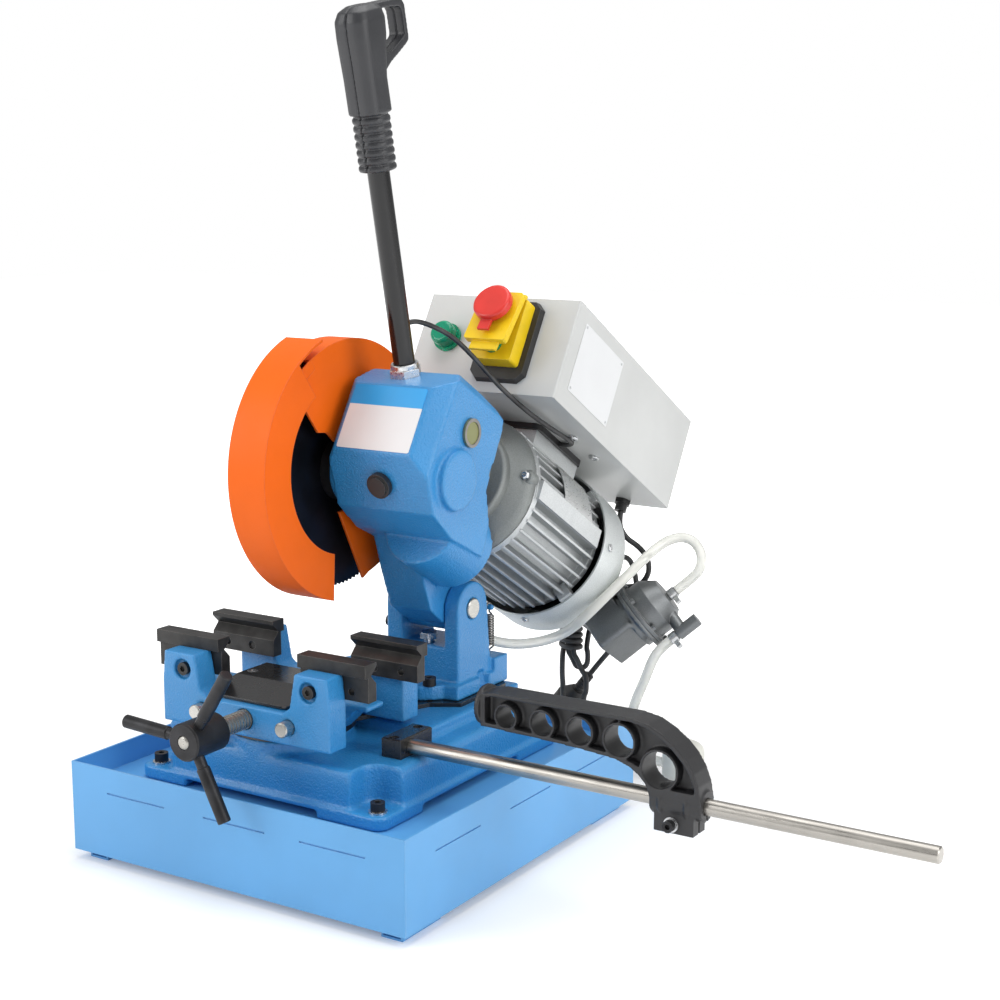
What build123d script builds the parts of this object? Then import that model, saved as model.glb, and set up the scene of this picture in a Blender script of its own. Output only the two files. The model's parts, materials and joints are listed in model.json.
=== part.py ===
from build123d import *
import os
from math import cos, pi, radians, sin, sqrt, tan

# Cold saw for a 225 mm blade. Millimetres. The origin is on the bench under the tray's centre,
# +X to the operator's right, +Y away from the operator, +Z up.

os.makedirs("parts", exist_ok=True)

# Fits
RUN = 0.05
FACE = 0.3

# Tray
SHEET = 2.0
TRAY_W = 380.0
TRAY_D = 401.0
TRAY_BOTTOM = 9.0
TRAY_TOP = 95.2
PAN_TOP = 72.2
TRAY_FLANGE = 34.0
SLIT_Z = 71.4
SLIT_LEN = 70.0
SLIT_H = 1.4
SLIT_DEEP = 1.2
SLIT_X = (-110.5, 6.0, 114.5)
SLIT_Y = (-120.0, 0.0, 117.0)
FOOT_W = 22.0
FOOT_L = 57.0
FOOT_INSET = 10.0
FOOT_T = 2.0
STAND_HOLE_R = 4.5

# Base casting
BASE_X = -10.5
BASE_W = 283.0
BASE_D = 302.0
FLANGE_TOP = 85.0
DECK = 120.0
PAD = 131.5
POST_TOP = 136.0
DRAFT = 3.0
POCKET = 38.0
SCREW_IN = 15.0
UNDERCUT_TOP = 80.0
CAVITY_TOP = 106.0
M8_R = 4.0
M8_HEAD_R = 6.5
M8_HEAD_H = 8.0
WASHER_R = 8.5
WASHER_T = 1.6

# Vise, on the swivel axis
VISE_X = -17.0
VISE_Y = -88.0
POST_R = 38.0
PLATE_R = 60.0
PLATE_TOP = 135.5
BODY_HALF = 96.5
BODY_IN = 43.0
BODY_OUT = 67.5
BODY_BOTTOM = 136.3
DIP = 165.0
UPRIGHT_IN = 50.0
UPRIGHT_TOP = 203.0
JAW_IN = 46.0
JAW_OUT = 121.0
JAW_BOTTOM = 180.0
JAW_TOP = 215.0
JAW_SCREW_X = 72.5
JAW_SCREW_Z = 188.0
ROD_X = 50.0
ROD_Z = 153.0
ROD_R = 7.0
ROD_END = 78.0
SCREW_Z = 152.5
SCREW_R = 9.0
SCREW_FRONT = -233.0
SCREW_BACK = -10.0
COLLAR_R = 13.0
COLLAR_HALF = 4.0
SADDLE_HALF = 12.5
SADDLE_TOP = 174.5
SADDLE_WING = 165.0
SADDLE_REACH = 97.0
WORK_T = 2.5
HUB_R = 17.0
HUB_FRONT = -236.0
HUB_BACK = -193.0
ARM_R = 6.0
ARM_REACH = 77.0
ARM_START = 9.0
ARM_Y = -225.0
ARM_ANGLES = (177.0, 57.0, -63.0)

# Bar stop
BLOCK_X0 = 91.0
BLOCK_X1 = 112.0
BLOCK_Y0 = -95.0
BLOCK_Y1 = -46.0
BLOCK_TOP = 138.0
BAR_Y = -78.0
BAR_Z = 128.5
BAR_R = 7.0
BAR_END = 600.0
STOP_HALF = 13.0
STOP_CLAMP_R = 13.0
STOP_CLAMP_X0 = 358.0
STOP_CLAMP_X1 = 405.0
STOP_FLANGE_X = 190.0
STOP_FLANGE_Z = 181.0
STOP_FLANGE_R = 18.0

# Column and head pivot
PIVOT_Y = 71.6
PIVOT_Z = 220.0
PIN_R = 10.0
EAR_R = 26.0
EAR_LEFT = -3.6
EAR_RIGHT = 80.5
FORK_LEFT = 14.5
FORK_RIGHT = 63.9
FORK_FLOOR = 184.0
FOOT_TOP = 150.0
ARM_LEFT = 15.0
ARM_RIGHT = 63.4
HEAD_TILT = 31.0
SPRING_X = 70.0
SPRING_Y = 116.0
SPRING_PIN_Z = 211.0
SPRING_PIN_R = 3.0
SPRING_LUG_TOP = 163.0
SPRING_R = 5.0
SPRING_WIRE_R = 0.9
SPRING_TURNS = 13
SPRING_PITCH = 2.5
SPRING_LOW = 171.0

# Head, in its own frame: y back along the motor, z square to it, zero on the pivot pin
BLADE_X = -17.0
BLADE_Y = -142.6
BLADE_Z = 78.8
BLADE_R = 112.5
BLADE_T = 2.0
BLADE_TEETH = 120
TOOTH = 2.2
SPINDLE_R = 12.5
NOSE_R = 30.0
HOUSING_LEFT = 6.0
HOUSING_RIGHT = 114.0
HOUSING_BACK = -90.0
HOUSING_FOOT = -62.0
MOTOR_X = 56.0
MOTOR_Z = 111.0
BELL_R = 58.0
FRAME_R = 62.0
FIN_R = 75.0
FRAME_FRONT = -30.0
FRAME_BACK = 114.0
COVER_R = 81.5
COVER_T = 2.0
COVER_BACK = 185.0
SHAFT_R = 10.0
WHEEL_R = 22.0
WORM_R = 9.8
WHEEL_TEETH = 30
BEARING_R = 26.0
BEARING_T = 14.0
HOOD_R = 123.0
GUARD_R = 128.0
GUARD_T = 2.5
BOX_X0 = -28.0
BOX_X1 = 145.3
BOX_Y0 = -70.8
BOX_Y1 = 214.8
BOX_Z0 = 197.3
BOX_Z1 = 299.9
BOX_T = 1.5
FLAP_AJAR = 10.0

# Hand lever
LEVER_LEAN = 12.0
HOUSING_FRONT = -198.0
HOUSING_TOP = 172.0
LEVER_X = 52.0
LEVER_R = 10.0
SEAT_Y = -177.7
SEAT_Z = 163.5
NUT_H = 13.0
LEVER_FREE = 189.6
COLLAR_LEN = 50.0
GRIP_LEN = 92.0
LOOP_HALF = 9.0

# Coolant pump, in the head frame
PUMP_X = 108.3
PUMP_Y = 225.0
PUMP_Z = 40.3
PUMP_LEAN = 41.7

# Cords and hoses
HOSE_R = 5.25
CABLE_R = 2.4
LEAD_R = 3.0
HANK_X = 30.0
HANK_Y = 350.0
HANK_TOP = 137.0
HANK_R = 10.7
HANK_PITCH = 6.8

tilt = radians(HEAD_TILT)
HEAD = Plane(origin=(0, PIVOT_Y, PIVOT_Z), x_dir=(1, 0, 0), z_dir=(0, sin(tilt), cos(tilt)))
HEAD_LENGTH = Axis(HEAD.origin, HEAD.y_dir)
HEAD_SIDE = Plane(origin=HEAD.origin, x_dir=HEAD.y_dir, z_dir=HEAD.x_dir)
HEAD_FRONT = Plane(origin=HEAD.origin, x_dir=HEAD.x_dir, z_dir=HEAD.y_dir * -1)


def side(x):
    """Plane square to X in the head frame: sketch axes are the head's y and z."""
    return HEAD_SIDE.offset(x)


def front(y):
    """Plane facing forward in the head frame: sketch axes are x and the head's z."""
    return HEAD_FRONT.offset(-y)


def head_point(x, y, z):
    return HEAD.from_local_coords(Vector(x, y, z))


def shifted(plane, u, v, w=0.0):
    """The same plane with its origin moved within itself."""
    return Plane(origin=plane.from_local_coords(Vector(u, v, w)), x_dir=plane.x_dir, z_dir=plane.z_dir)


def rod(plane, radius, length, mode=Mode.ADD):
    with BuildSketch(plane) as profile:
        Circle(radius)
    extrude(profile.sketch, amount=length, mode=mode)


def ring(plane, outer, inner, length, mode=Mode.ADD):
    with BuildSketch(plane) as profile:
        Circle(outer)
        Circle(inner, mode=Mode.SUBTRACT)
    extrude(profile.sketch, amount=length, mode=mode)


def slab(plane, width, height, length, mode=Mode.ADD):
    with BuildSketch(plane) as profile:
        Rectangle(width, height)
    extrude(profile.sketch, amount=length, mode=mode)


def prism(plane, points, length, mode=Mode.ADD):
    with BuildSketch(plane) as profile:
        with BuildLine():
            Polyline(*points, close=True)
        make_face()
    extrude(profile.sketch, amount=length, mode=mode)


def hexagon(plane, across_flats, length, mode=Mode.ADD):
    with BuildSketch(plane) as profile:
        RegularPolygon(across_flats / 2, 6, major_radius=False)
    extrude(profile.sketch, amount=length, mode=mode)


def socket_screw(plane, radius, length, head_r, head_h):
    """Socket head screw: the plane is under the head and faces along the head."""
    rod(plane, head_r, head_h)
    rod(plane.offset(-length), radius, length)
    hexagon(plane.offset(head_h * 0.45), head_r * 0.9, head_h, Mode.SUBTRACT)


def save(builder, name, hinge=None, angle=0.0):
    """Writes one node, turned about its hinge where it rests ajar."""
    shape = builder.part.rotate(hinge, angle) if hinge else builder.part
    shape.label = name
    export_step(shape, f"parts/{name}.step")


def save_group(builders, name):
    """One node of several pieces that stay separate solids."""
    group = Compound(label=name, children=[builder.part for builder in builders])
    export_step(group, f"parts/{name}.step")


def box_between(x0, x1, y0, y1, z0, z1, mode=Mode.ADD):
    with Locations(((x0 + x1) / 2, (y0 + y1) / 2, (z0 + z1) / 2)):
        Box(abs(x1 - x0), abs(y1 - y0), abs(z1 - z0), mode=mode)


# Tray and feet
BASE_SCREWS = [
    (BASE_X + sx * (BASE_W / 2 - SCREW_IN), sy * (BASE_D / 2 - SCREW_IN))
    for sx in (-1, 1)
    for sy in (-1, 1)
]

BLOCK_SCREWS = [((BLOCK_X0 + BLOCK_X1) / 2, BLOCK_Y0 + 5), ((BLOCK_X0 + BLOCK_X1) / 2, BLOCK_Y1 - 7)]

foot_x = TRAY_W / 2 - FOOT_INSET - FOOT_W / 2
foot_y = TRAY_D / 2 - FOOT_INSET - FOOT_L / 2

inner_w = TRAY_W - 2 * SHEET
inner_d = TRAY_D - 2 * SHEET
hem = TRAY_FLANGE - SHEET
tray_sheets = []
for wall in (-1, 1):
    with BuildPart() as long_wall:
        box_between(-TRAY_W / 2, TRAY_W / 2, wall * inner_d / 2, wall * TRAY_D / 2, TRAY_BOTTOM, TRAY_TOP)
        with Locations([(x, wall * TRAY_D / 2, SLIT_Z) for x in SLIT_X]):
            Box(SLIT_LEN, 2 * SLIT_DEEP, SLIT_H, mode=Mode.SUBTRACT)
    with BuildPart() as side_wall:
        box_between(wall * inner_w / 2, wall * TRAY_W / 2, -inner_d / 2, inner_d / 2, TRAY_BOTTOM, TRAY_TOP)
        with Locations([(wall * TRAY_W / 2, y, SLIT_Z) for y in SLIT_Y]):
            Box(2 * SLIT_DEEP, SLIT_LEN, SLIT_H, mode=Mode.SUBTRACT)
    with BuildPart() as side_hem:
        box_between(wall * (inner_w / 2 - hem), wall * inner_w / 2, -inner_d / 2, inner_d / 2,
                    TRAY_BOTTOM, TRAY_BOTTOM + SHEET)
        with Locations([(wall * foot_x, sy * foot_y, TRAY_BOTTOM) for sy in (-1, 1)]):
            Cylinder(STAND_HOLE_R, 4 * SHEET, mode=Mode.SUBTRACT)
    with BuildPart() as long_hem:
        box_between(hem - inner_w / 2, inner_w / 2 - hem, wall * (inner_d / 2 - hem), wall * inner_d / 2,
                    TRAY_BOTTOM, TRAY_BOTTOM + SHEET)
    tray_sheets += [long_wall, side_wall, side_hem, long_hem]
with BuildPart() as pan_floor:
    box_between(-inner_w / 2, inner_w / 2, -inner_d / 2, inner_d / 2, PAN_TOP - SHEET, PAN_TOP)
    with Locations([(x, y, PAN_TOP) for x, y in BASE_SCREWS]):
        Cylinder(M8_R, 4 * SHEET, mode=Mode.SUBTRACT)
with BuildPart() as tray_feet:
    with Locations([(sx * foot_x, sy * foot_y, TRAY_BOTTOM / 2) for sx in (-1, 1) for sy in (-1, 1)]):
        Box(FOOT_W, FOOT_L, TRAY_BOTTOM)
        Box(FOOT_W - 2 * FOOT_T, FOOT_L + 1, TRAY_BOTTOM - 2 * FOOT_T, mode=Mode.SUBTRACT)
        Cylinder(STAND_HOLE_R, 2 * TRAY_BOTTOM, mode=Mode.SUBTRACT)
save_group(tray_sheets + [pan_floor, tray_feet], "tray")

# Base casting: foot flange, drafted body, raised pad, post for the vise
with BuildPart() as base_casting:
    with BuildSketch(shifted(Plane.XY.offset(PAN_TOP), BASE_X, 0)):
        RectangleRounded(BASE_W, BASE_D, 12)
    extrude(amount=FLANGE_TOP - PAN_TOP)
    with BuildSketch(shifted(Plane.XY.offset(PAN_TOP), BASE_X, 0)):
        RectangleRounded(BASE_W - 6, BASE_D - 6, 14)
    extrude(amount=DECK - PAN_TOP, taper=DRAFT)
    deck_edges = base_casting.edges().filter_by(Axis.Z, reverse=True).group_by(Axis.Z)[-1]
    fillet(deck_edges, 6)
    pad_plane = Plane.XY.offset(DECK - 8)
    prism(pad_plane, [(-126, -36), (102, -36), (102, 92), (118, 96), (118, 116), (90, 138), (-112, 138),
                      (-140, 116), (-140, 96), (-126, 92)], PAD - DECK + 8)
    rod(shifted(pad_plane, VISE_X, VISE_Y), PLATE_R - 2, PAD - DECK + 8)
    rod(shifted(pad_plane, VISE_X, VISE_Y), POST_R, POST_TOP - DECK + 8)
    for sx in (-1, 1):
        for sy in (-1, 1):
            corner = shifted(Plane.XY.offset(FLANGE_TOP), BASE_X + sx * BASE_W / 2, sy * BASE_D / 2)
            with BuildSketch(corner):
                RectangleRounded(2 * POCKET, 2 * POCKET, 16)
            extrude(amount=60, mode=Mode.SUBTRACT)
    with BuildSketch(shifted(Plane.XY.offset(PAN_TOP), BASE_X, 0)):
        RectangleRounded(BASE_W - 2 * POCKET - 12, BASE_D - 44, 20)
        RectangleRounded(BASE_W - 44, BASE_D - 2 * POCKET - 12, 20)
    extrude(amount=CAVITY_TOP - PAN_TOP, mode=Mode.SUBTRACT)
    for sy in (-1, 1):
        box_between(-95, 59, sy * 140 - 25, sy * 140 + 25, PAN_TOP - 1, UNDERCUT_TOP, Mode.SUBTRACT)
    for sx in (-1, 1):
        mid = BASE_X + sx * 130
        box_between(mid - 25, mid + 25, -87, 73, PAN_TOP - 1, UNDERCUT_TOP, Mode.SUBTRACT)
    with Locations([(x, y, PAN_TOP) for x, y in BASE_SCREWS]):
        Cylinder(M8_R, 60, mode=Mode.SUBTRACT)
    with Locations([(x, y, DECK) for x, y in BLOCK_SCREWS]):
        Cylinder(2.5, 24, mode=Mode.SUBTRACT)
save(base_casting, "base_casting")

# Screws of the base: four through the flange with washers, two countersunk in the work plate,
# two in the bar holder
PLATE_SCREWS = [(VISE_X - 40, VISE_Y - 7), (VISE_X + 36, VISE_Y - 7)]
with BuildPart() as base_screws:
    for x, y in BASE_SCREWS:
        seat = shifted(Plane.XY.offset(FLANGE_TOP), x, y)
        ring(seat, WASHER_R, M8_R, WASHER_T)
        socket_screw(seat.offset(WASHER_T), M8_R, WASHER_T + FLANGE_TOP - PAN_TOP + 5, M8_HEAD_R, M8_HEAD_H)
    for x, y in BLOCK_SCREWS:
        socket_screw(shifted(Plane.XY.offset(BLOCK_TOP - 6), x, y), 2.5, 24, 4.4, 5)
    for x, y in PLATE_SCREWS:
        top = shifted(Plane.XY.offset(SADDLE_TOP + WORK_T), x, y)
        with BuildSketch(top):
            Circle(5)
        extrude(amount=-2.4, taper=45)
        rod(top.offset(-14), 2.5, 13)
        hexagon(top.offset(-1.6), 3.5, 3, Mode.SUBTRACT)
save(base_screws, "base_screws")

# Swivel plate round the post, with the tongue under the column
with BuildPart() as swivel_plate:
    low = Plane.XY.offset(PAD + RUN)
    prism(low, [(-58, -66), (-26, 30), (-20, 60), (-20, 126), (80, 126), (90, 116), (90, 36), (64, 20),
                (26, -66)],
          PLATE_TOP - PAD - RUN)
    rod(shifted(low, VISE_X, VISE_Y), PLATE_R, PLATE_TOP - PAD - RUN)
    rod(shifted(low, VISE_X, VISE_Y), POST_R + RUN, 10, Mode.SUBTRACT)
save(swivel_plate, "swivel_plate")

# Vise saddle on the post, with the pocket that holds the screw's collar
with BuildPart() as vise_saddle:
    mid_plane = shifted(Plane.XZ.offset(-(VISE_Y + SADDLE_HALF)), VISE_X, 0)
    wing = SADDLE_REACH
    outline = [(-wing, SADDLE_WING), (-wing, SADDLE_WING - 5), (-84, SADDLE_WING - 6), (-60, POST_TOP + 0.5),
               (-POST_R + 4, POST_TOP + 0.5), (-POST_R + 4, POST_TOP), (POST_R - 4, POST_TOP),
               (POST_R - 4, POST_TOP + 0.5), (60, POST_TOP + 0.5), (84, SADDLE_WING - 6),
               (wing, SADDLE_WING - 5), (wing, SADDLE_WING), (46, SADDLE_WING), (46, SADDLE_TOP),
               (-46, SADDLE_TOP), (-46, SADDLE_WING)]
    prism(mid_plane, outline, 2 * SADDLE_HALF)
    back = Plane.XZ.offset(-(VISE_Y + SADDLE_HALF + 1))
    rod(shifted(back, VISE_X, SCREW_Z), SCREW_R + RUN, 2 * SADDLE_HALF + 2, Mode.SUBTRACT)
    for sx in (-1, 1):
        rod(shifted(back, VISE_X + sx * ROD_X, ROD_Z), ROD_R, 2 * SADDLE_HALF + 2, Mode.SUBTRACT)
    box_between(VISE_X - COLLAR_R - FACE, VISE_X + COLLAR_R + FACE, VISE_Y - COLLAR_HALF - 0.1,
                VISE_Y + COLLAR_HALF + 0.1, SCREW_Z - COLLAR_R - FACE, SADDLE_TOP + 1, Mode.SUBTRACT)
    with Locations([(x, y, SADDLE_TOP) for x, y in PLATE_SCREWS]):
        Cylinder(2.5, 30, mode=Mode.SUBTRACT)
save(vise_saddle, "vise_saddle")

with BuildPart() as guide_rods:
    for sx in (-1, 1):
        start = shifted(Plane.XZ.offset(-(VISE_Y + ROD_END)), VISE_X + sx * ROD_X, ROD_Z)
        rod(start, ROD_R, 2 * ROD_END)
    chamfer(guide_rods.edges().filter_by(GeomType.CIRCLE), 1)
save(guide_rods, "guide_rods")

# Work plate: flat on the saddle, front lip sloping down into the dip of the front body
with BuildPart() as work_plate:
    top = SADDLE_TOP + WORK_T
    prism(Plane.YZ.offset(VISE_X - 47), [(-66, SADDLE_TOP), (-66, top), (-109, top), (-148, top - 8.5),
                                         (-148, top - 11), (-109, SADDLE_TOP)], 94)
    with BuildSketch(Plane.XY.offset(SADDLE_TOP - 20)) as plan:
        with Locations((VISE_X, -107)):
            Rectangle(94, 82)
        fillet(plan.vertices().group_by(Axis.Y)[0], 12)
    extrude(amount=40, mode=Mode.INTERSECT)
    with Locations([(x, y, top) for x, y in PLATE_SCREWS]):
        CounterSinkHole(2.5, 5, counter_sink_angle=90)
save(work_plate, "work_plate")

# Holder of the bar stop
with BuildPart() as stop_block:
    box_between(BLOCK_X0, BLOCK_X1, BLOCK_Y0, BLOCK_Y1, DECK, BLOCK_TOP)
    chamfer(stop_block.edges().group_by(Axis.Z)[-1], 1)
    rod(shifted(Plane.YZ.offset(BLOCK_X0 - 1), BAR_Y, BAR_Z), BAR_R + RUN, 40, Mode.SUBTRACT)
    with Locations([(x, y, BLOCK_TOP) for x, y in BLOCK_SCREWS]):
        CounterBoreHole(2.5, 4.6, 6)
save(stop_block, "stop_block")

# Jaw bodies and inserts: the rear ones mirror the front ones about the vise centre


def jaw_body(s):
    """Jaw body on side s of the vise centre: -1 in front, +1 behind."""
    face = shifted(Plane.XZ.offset(-VISE_Y), VISE_X, 0)
    near = face.offset(-s * BODY_IN)
    depth = -s * (BODY_OUT - BODY_IN)
    outline = [(-BODY_HALF, BODY_BOTTOM), (BODY_HALF, BODY_BOTTOM), (BODY_HALF, 176),
               (BODY_HALF - 3, UPRIGHT_TOP),
               (UPRIGHT_IN + 8, UPRIGHT_TOP), (UPRIGHT_IN + 2, DIP + 6), (UPRIGHT_IN - 6, DIP),
               (6 - UPRIGHT_IN, DIP), (-UPRIGHT_IN - 2, DIP + 6), (-UPRIGHT_IN - 8, UPRIGHT_TOP),
               (3 - BODY_HALF, UPRIGHT_TOP), (-BODY_HALF, 176)]
    prism(near, outline, depth)
    rod(shifted(face.offset(-s * 30), 0, SCREW_Z), SCREW_R + RUN, -s * 60, Mode.SUBTRACT)
    for sx in (-1, 1):
        rod(shifted(face.offset(-s * 30), sx * ROD_X, ROD_Z), ROD_R + RUN, -s * 60, Mode.SUBTRACT)
        screw = shifted(face.offset(-s * 30), sx * JAW_SCREW_X, JAW_SCREW_Z)
        rod(screw, M8_R, -s * 60, Mode.SUBTRACT)
        recess = shifted(face.offset(-s * (BODY_OUT - 5)), sx * JAW_SCREW_X, JAW_SCREW_Z)
        rod(recess, 9.5, -s * 20, Mode.SUBTRACT)


def jaw_inserts(s):
    """Two black inserts with a vee for round bar, screwed to the uprights on side s."""
    profile = [(BODY_IN, JAW_BOTTOM), (BODY_IN, UPRIGHT_TOP), (BODY_IN + 4.5, UPRIGHT_TOP),
               (BODY_IN + 4.5, JAW_TOP),
               (31, JAW_TOP), (31, JAW_TOP - 3.5), (39, UPRIGHT_TOP + 0.8), (31.5, 196), (31.5, JAW_BOTTOM)]
    points = [(VISE_Y + s * y, z) for y, z in profile]
    for x0 in (VISE_X - JAW_OUT, VISE_X + JAW_IN):
        prism(Plane.YZ.offset(x0), points, JAW_OUT - JAW_IN)
    for sx in (-1, 1):
        screw = shifted(Plane.XZ.offset(-VISE_Y), VISE_X + sx * JAW_SCREW_X, JAW_SCREW_Z)
        rod(screw, M8_R, -s * 60, Mode.SUBTRACT)
        spare = shifted(Plane.XZ.offset(-VISE_Y), VISE_X + sx * (JAW_SCREW_X + 30), JAW_SCREW_Z)
        rod(spare, 3.3, -s * 60, Mode.SUBTRACT)


def jaw_screws(s):
    for sx in (-1, 1):
        seat_dir = Plane(origin=(VISE_X + sx * JAW_SCREW_X, VISE_Y + s * (BODY_OUT - 5), JAW_SCREW_Z),
                         x_dir=(1, 0, 0), z_dir=(0, s, 0))
        socket_screw(seat_dir, M8_R, BODY_OUT - 5 - 33, 6.0, 4.5)


with BuildPart() as front_jaw_body:
    jaw_body(-1)
save(front_jaw_body, "front_jaw_body")

with BuildPart() as front_jaws:
    jaw_inserts(-1)
with BuildPart() as front_jaw_screws:
    jaw_screws(-1)
save_group([front_jaws, front_jaw_screws], "front_jaws")

with BuildPart() as rear_jaw_body:
    jaw_body(1)
save(rear_jaw_body, "rear_jaw_body")

with BuildPart() as rear_jaws:
    jaw_inserts(1)
with BuildPart() as rear_jaw_screws:
    jaw_screws(1)
save_group([rear_jaws, rear_jaw_screws], "rear_jaws")

# Vise screw with thread grooves, its hub and the three arms
with BuildPart() as vise_screw:
    start = shifted(Plane.XZ.offset(-SCREW_BACK), VISE_X, SCREW_Z)
    rod(start, SCREW_R, SCREW_BACK - HUB_BACK)
    rod(shifted(Plane.XZ.offset(-HUB_BACK), VISE_X, SCREW_Z), 6.5, HUB_BACK - SCREW_FRONT + 4)
    rod(shifted(Plane.XZ.offset(-(VISE_Y + COLLAR_HALF)), VISE_X, SCREW_Z), COLLAR_R, 2 * COLLAR_HALF)
    tip = vise_screw.edges().filter_by(GeomType.CIRCLE).sort_by(Axis.Y)[0]
    fillet(tip, 3)
    for k in range(9):
        groove = shifted(Plane.XZ.offset(189.5 - 4 * k), VISE_X, SCREW_Z)
        ring(groove, SCREW_R + 1, SCREW_R - 1.2, -1.8, Mode.SUBTRACT)
save(vise_screw, "vise_screw")

with BuildPart() as vise_hub:
    rod(shifted(Plane.XZ.offset(-HUB_BACK), VISE_X, SCREW_Z), HUB_R, HUB_BACK - HUB_FRONT)
    chamfer(vise_hub.edges().filter_by(GeomType.CIRCLE), 1.5)
    rod(shifted(Plane.XZ.offset(-HUB_BACK - 1), VISE_X, SCREW_Z), 6.5, 70, Mode.SUBTRACT)
    for angle in ARM_ANGLES:
        out = Plane(origin=(VISE_X, ARM_Y, SCREW_Z), x_dir=(0, 1, 0),
                    z_dir=(cos(radians(angle)), 0, sin(radians(angle))))
        rod(out.offset(ARM_START), ARM_R - 1, 30, Mode.SUBTRACT)
save(vise_hub, "vise_hub")

with BuildPart() as vise_arms:
    for angle in ARM_ANGLES:
        out = Plane(origin=(VISE_X, ARM_Y, SCREW_Z), x_dir=(0, 1, 0),
                    z_dir=(cos(radians(angle)), 0, sin(radians(angle))))
        rod(out.offset(ARM_START), ARM_R - 1, 20)
        rod(out.offset(26), ARM_R, ARM_REACH - 26)
    chamfer(vise_arms.edges().filter_by(GeomType.CIRCLE).filter_by(lambda e: abs(e.radius - ARM_R) < 0.01), 0.8)
save(vise_arms, "vise_arms")

# Bar stop: rod, moulded arm with tubes in its web, screws
with BuildPart() as stop_rod:
    rod(shifted(Plane.YZ.offset(BLOCK_X0 + 0.5), BAR_Y, BAR_Z), BAR_R, BAR_END - BLOCK_X0 - 0.5)
    chamfer(stop_rod.edges().filter_by(GeomType.CIRCLE), 1)
save(stop_rod, "stop_rod")

STOP_HOLES = [(218.8, 176.5, 9.5), (255.0, 176.5, 10.5), (291.5, 176.0, 11.5), (329.0, 174.5, 13.5),
              (366.5, 156.0, 15.5)]
CLAMP_SCREW_X = 378.0
CLAMP_SCREW_Z = 111.5
STOP_WEB_HALF = 3.0
STOP_WALL = 2.2
STOP_OUTLINE = [(358, 133), (355, 141), (349, 148), (340, 154), (326, 158.5), (291, 161.5), (255, 163),
                (219, 164), (194, 165), (194, 194), (206, 196), (341, 196), (356, 193.5), (369, 187.5),
                (381, 179), (391, 169), (398, 158.5), (402.5, 147), (405, 133)]
STOP_POCKET = [(364, 141), (360, 147), (353, 153.5), (342, 158), (327, 162), (291, 165), (255, 166.5),
               (219, 167.5), (198, 168.5), (198, 191), (206, 192.5), (340, 192.5), (354, 190), (366, 184),
               (378, 175.5), (388, 165.5), (394.5, 156), (398.5, 146), (399, 141)]


def stop_pocket(plane, depth):
    """Hollow beside the web, which leaves the rim and the tubes standing."""
    with BuildSketch(plane) as hollow:
        with BuildLine():
            Polyline(*STOP_POCKET, close=True)
        make_face()
        for x, z, r in STOP_HOLES:
            with Locations((x, z)):
                Circle(r + STOP_WALL, mode=Mode.SUBTRACT)
    extrude(hollow.sketch, amount=depth, mode=Mode.SUBTRACT)


with BuildPart() as stop_arm:
    arm_front = Plane.XZ.offset(-(BAR_Y + STOP_HALF))
    prism(arm_front, STOP_OUTLINE, 2 * STOP_HALF)
    stop_pocket(arm_front, STOP_HALF - STOP_WEB_HALF)
    stop_pocket(arm_front.offset(2 * STOP_HALF), STOP_WEB_HALF - STOP_HALF)
    for x, z, r in STOP_HOLES:
        rod(shifted(arm_front.offset(-1), x, z), r, 2 * STOP_HALF + 2, Mode.SUBTRACT)
    rod(shifted(Plane.YZ.offset(STOP_FLANGE_X), BAR_Y, STOP_FLANGE_Z), STOP_FLANGE_R, 4.5)
    rod(shifted(Plane.YZ.offset(STOP_CLAMP_X0), BAR_Y, BAR_Z), STOP_CLAMP_R, STOP_CLAMP_X1 - STOP_CLAMP_X0)
    box_between(362, 398, BAR_Y - 11, BAR_Y + 11, 104, 122)
    for x in (368.0, 392.0):
        rod(shifted(Plane.YZ.offset(x - 1.5), BAR_Y, BAR_Z), STOP_CLAMP_R + 1.5, 3)
    rod(shifted(Plane.YZ.offset(STOP_CLAMP_X0 - 5), BAR_Y, BAR_Z), BAR_R + RUN, 70, Mode.SUBTRACT)
    box_between(355, 410, BAR_Y - 1, BAR_Y + 1, 100, BAR_Z, Mode.SUBTRACT)
    rod(shifted(arm_front.offset(-10), CLAMP_SCREW_X, CLAMP_SCREW_Z), 3, 60, Mode.SUBTRACT)
    rod(shifted(Plane.YZ.offset(STOP_FLANGE_X - 1), BAR_Y + 9, STOP_FLANGE_Z + 4), 2.5, 12, Mode.SUBTRACT)
save(stop_arm, "stop_arm")

with BuildPart() as stop_screws:
    clamp_seat = Plane(origin=(CLAMP_SCREW_X, BAR_Y - 11, CLAMP_SCREW_Z), x_dir=(1, 0, 0), z_dir=(0, -1, 0))
    ring(clamp_seat, 6.5, 3, 1.4)
    socket_screw(clamp_seat.offset(1.4), 3, 28, 5, 6)
    hexagon(clamp_seat.offset(-27), 10, 5)
    tip = Plane(origin=(STOP_FLANGE_X, BAR_Y + 9, STOP_FLANGE_Z + 4), x_dir=(0, 1, 0), z_dir=(-1, 0, 0))
    socket_screw(tip, 2.5, 17, 4.2, 4)
    hexagon(tip.offset(-12), 6, 4)
save(stop_screws, "stop_screws")

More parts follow.
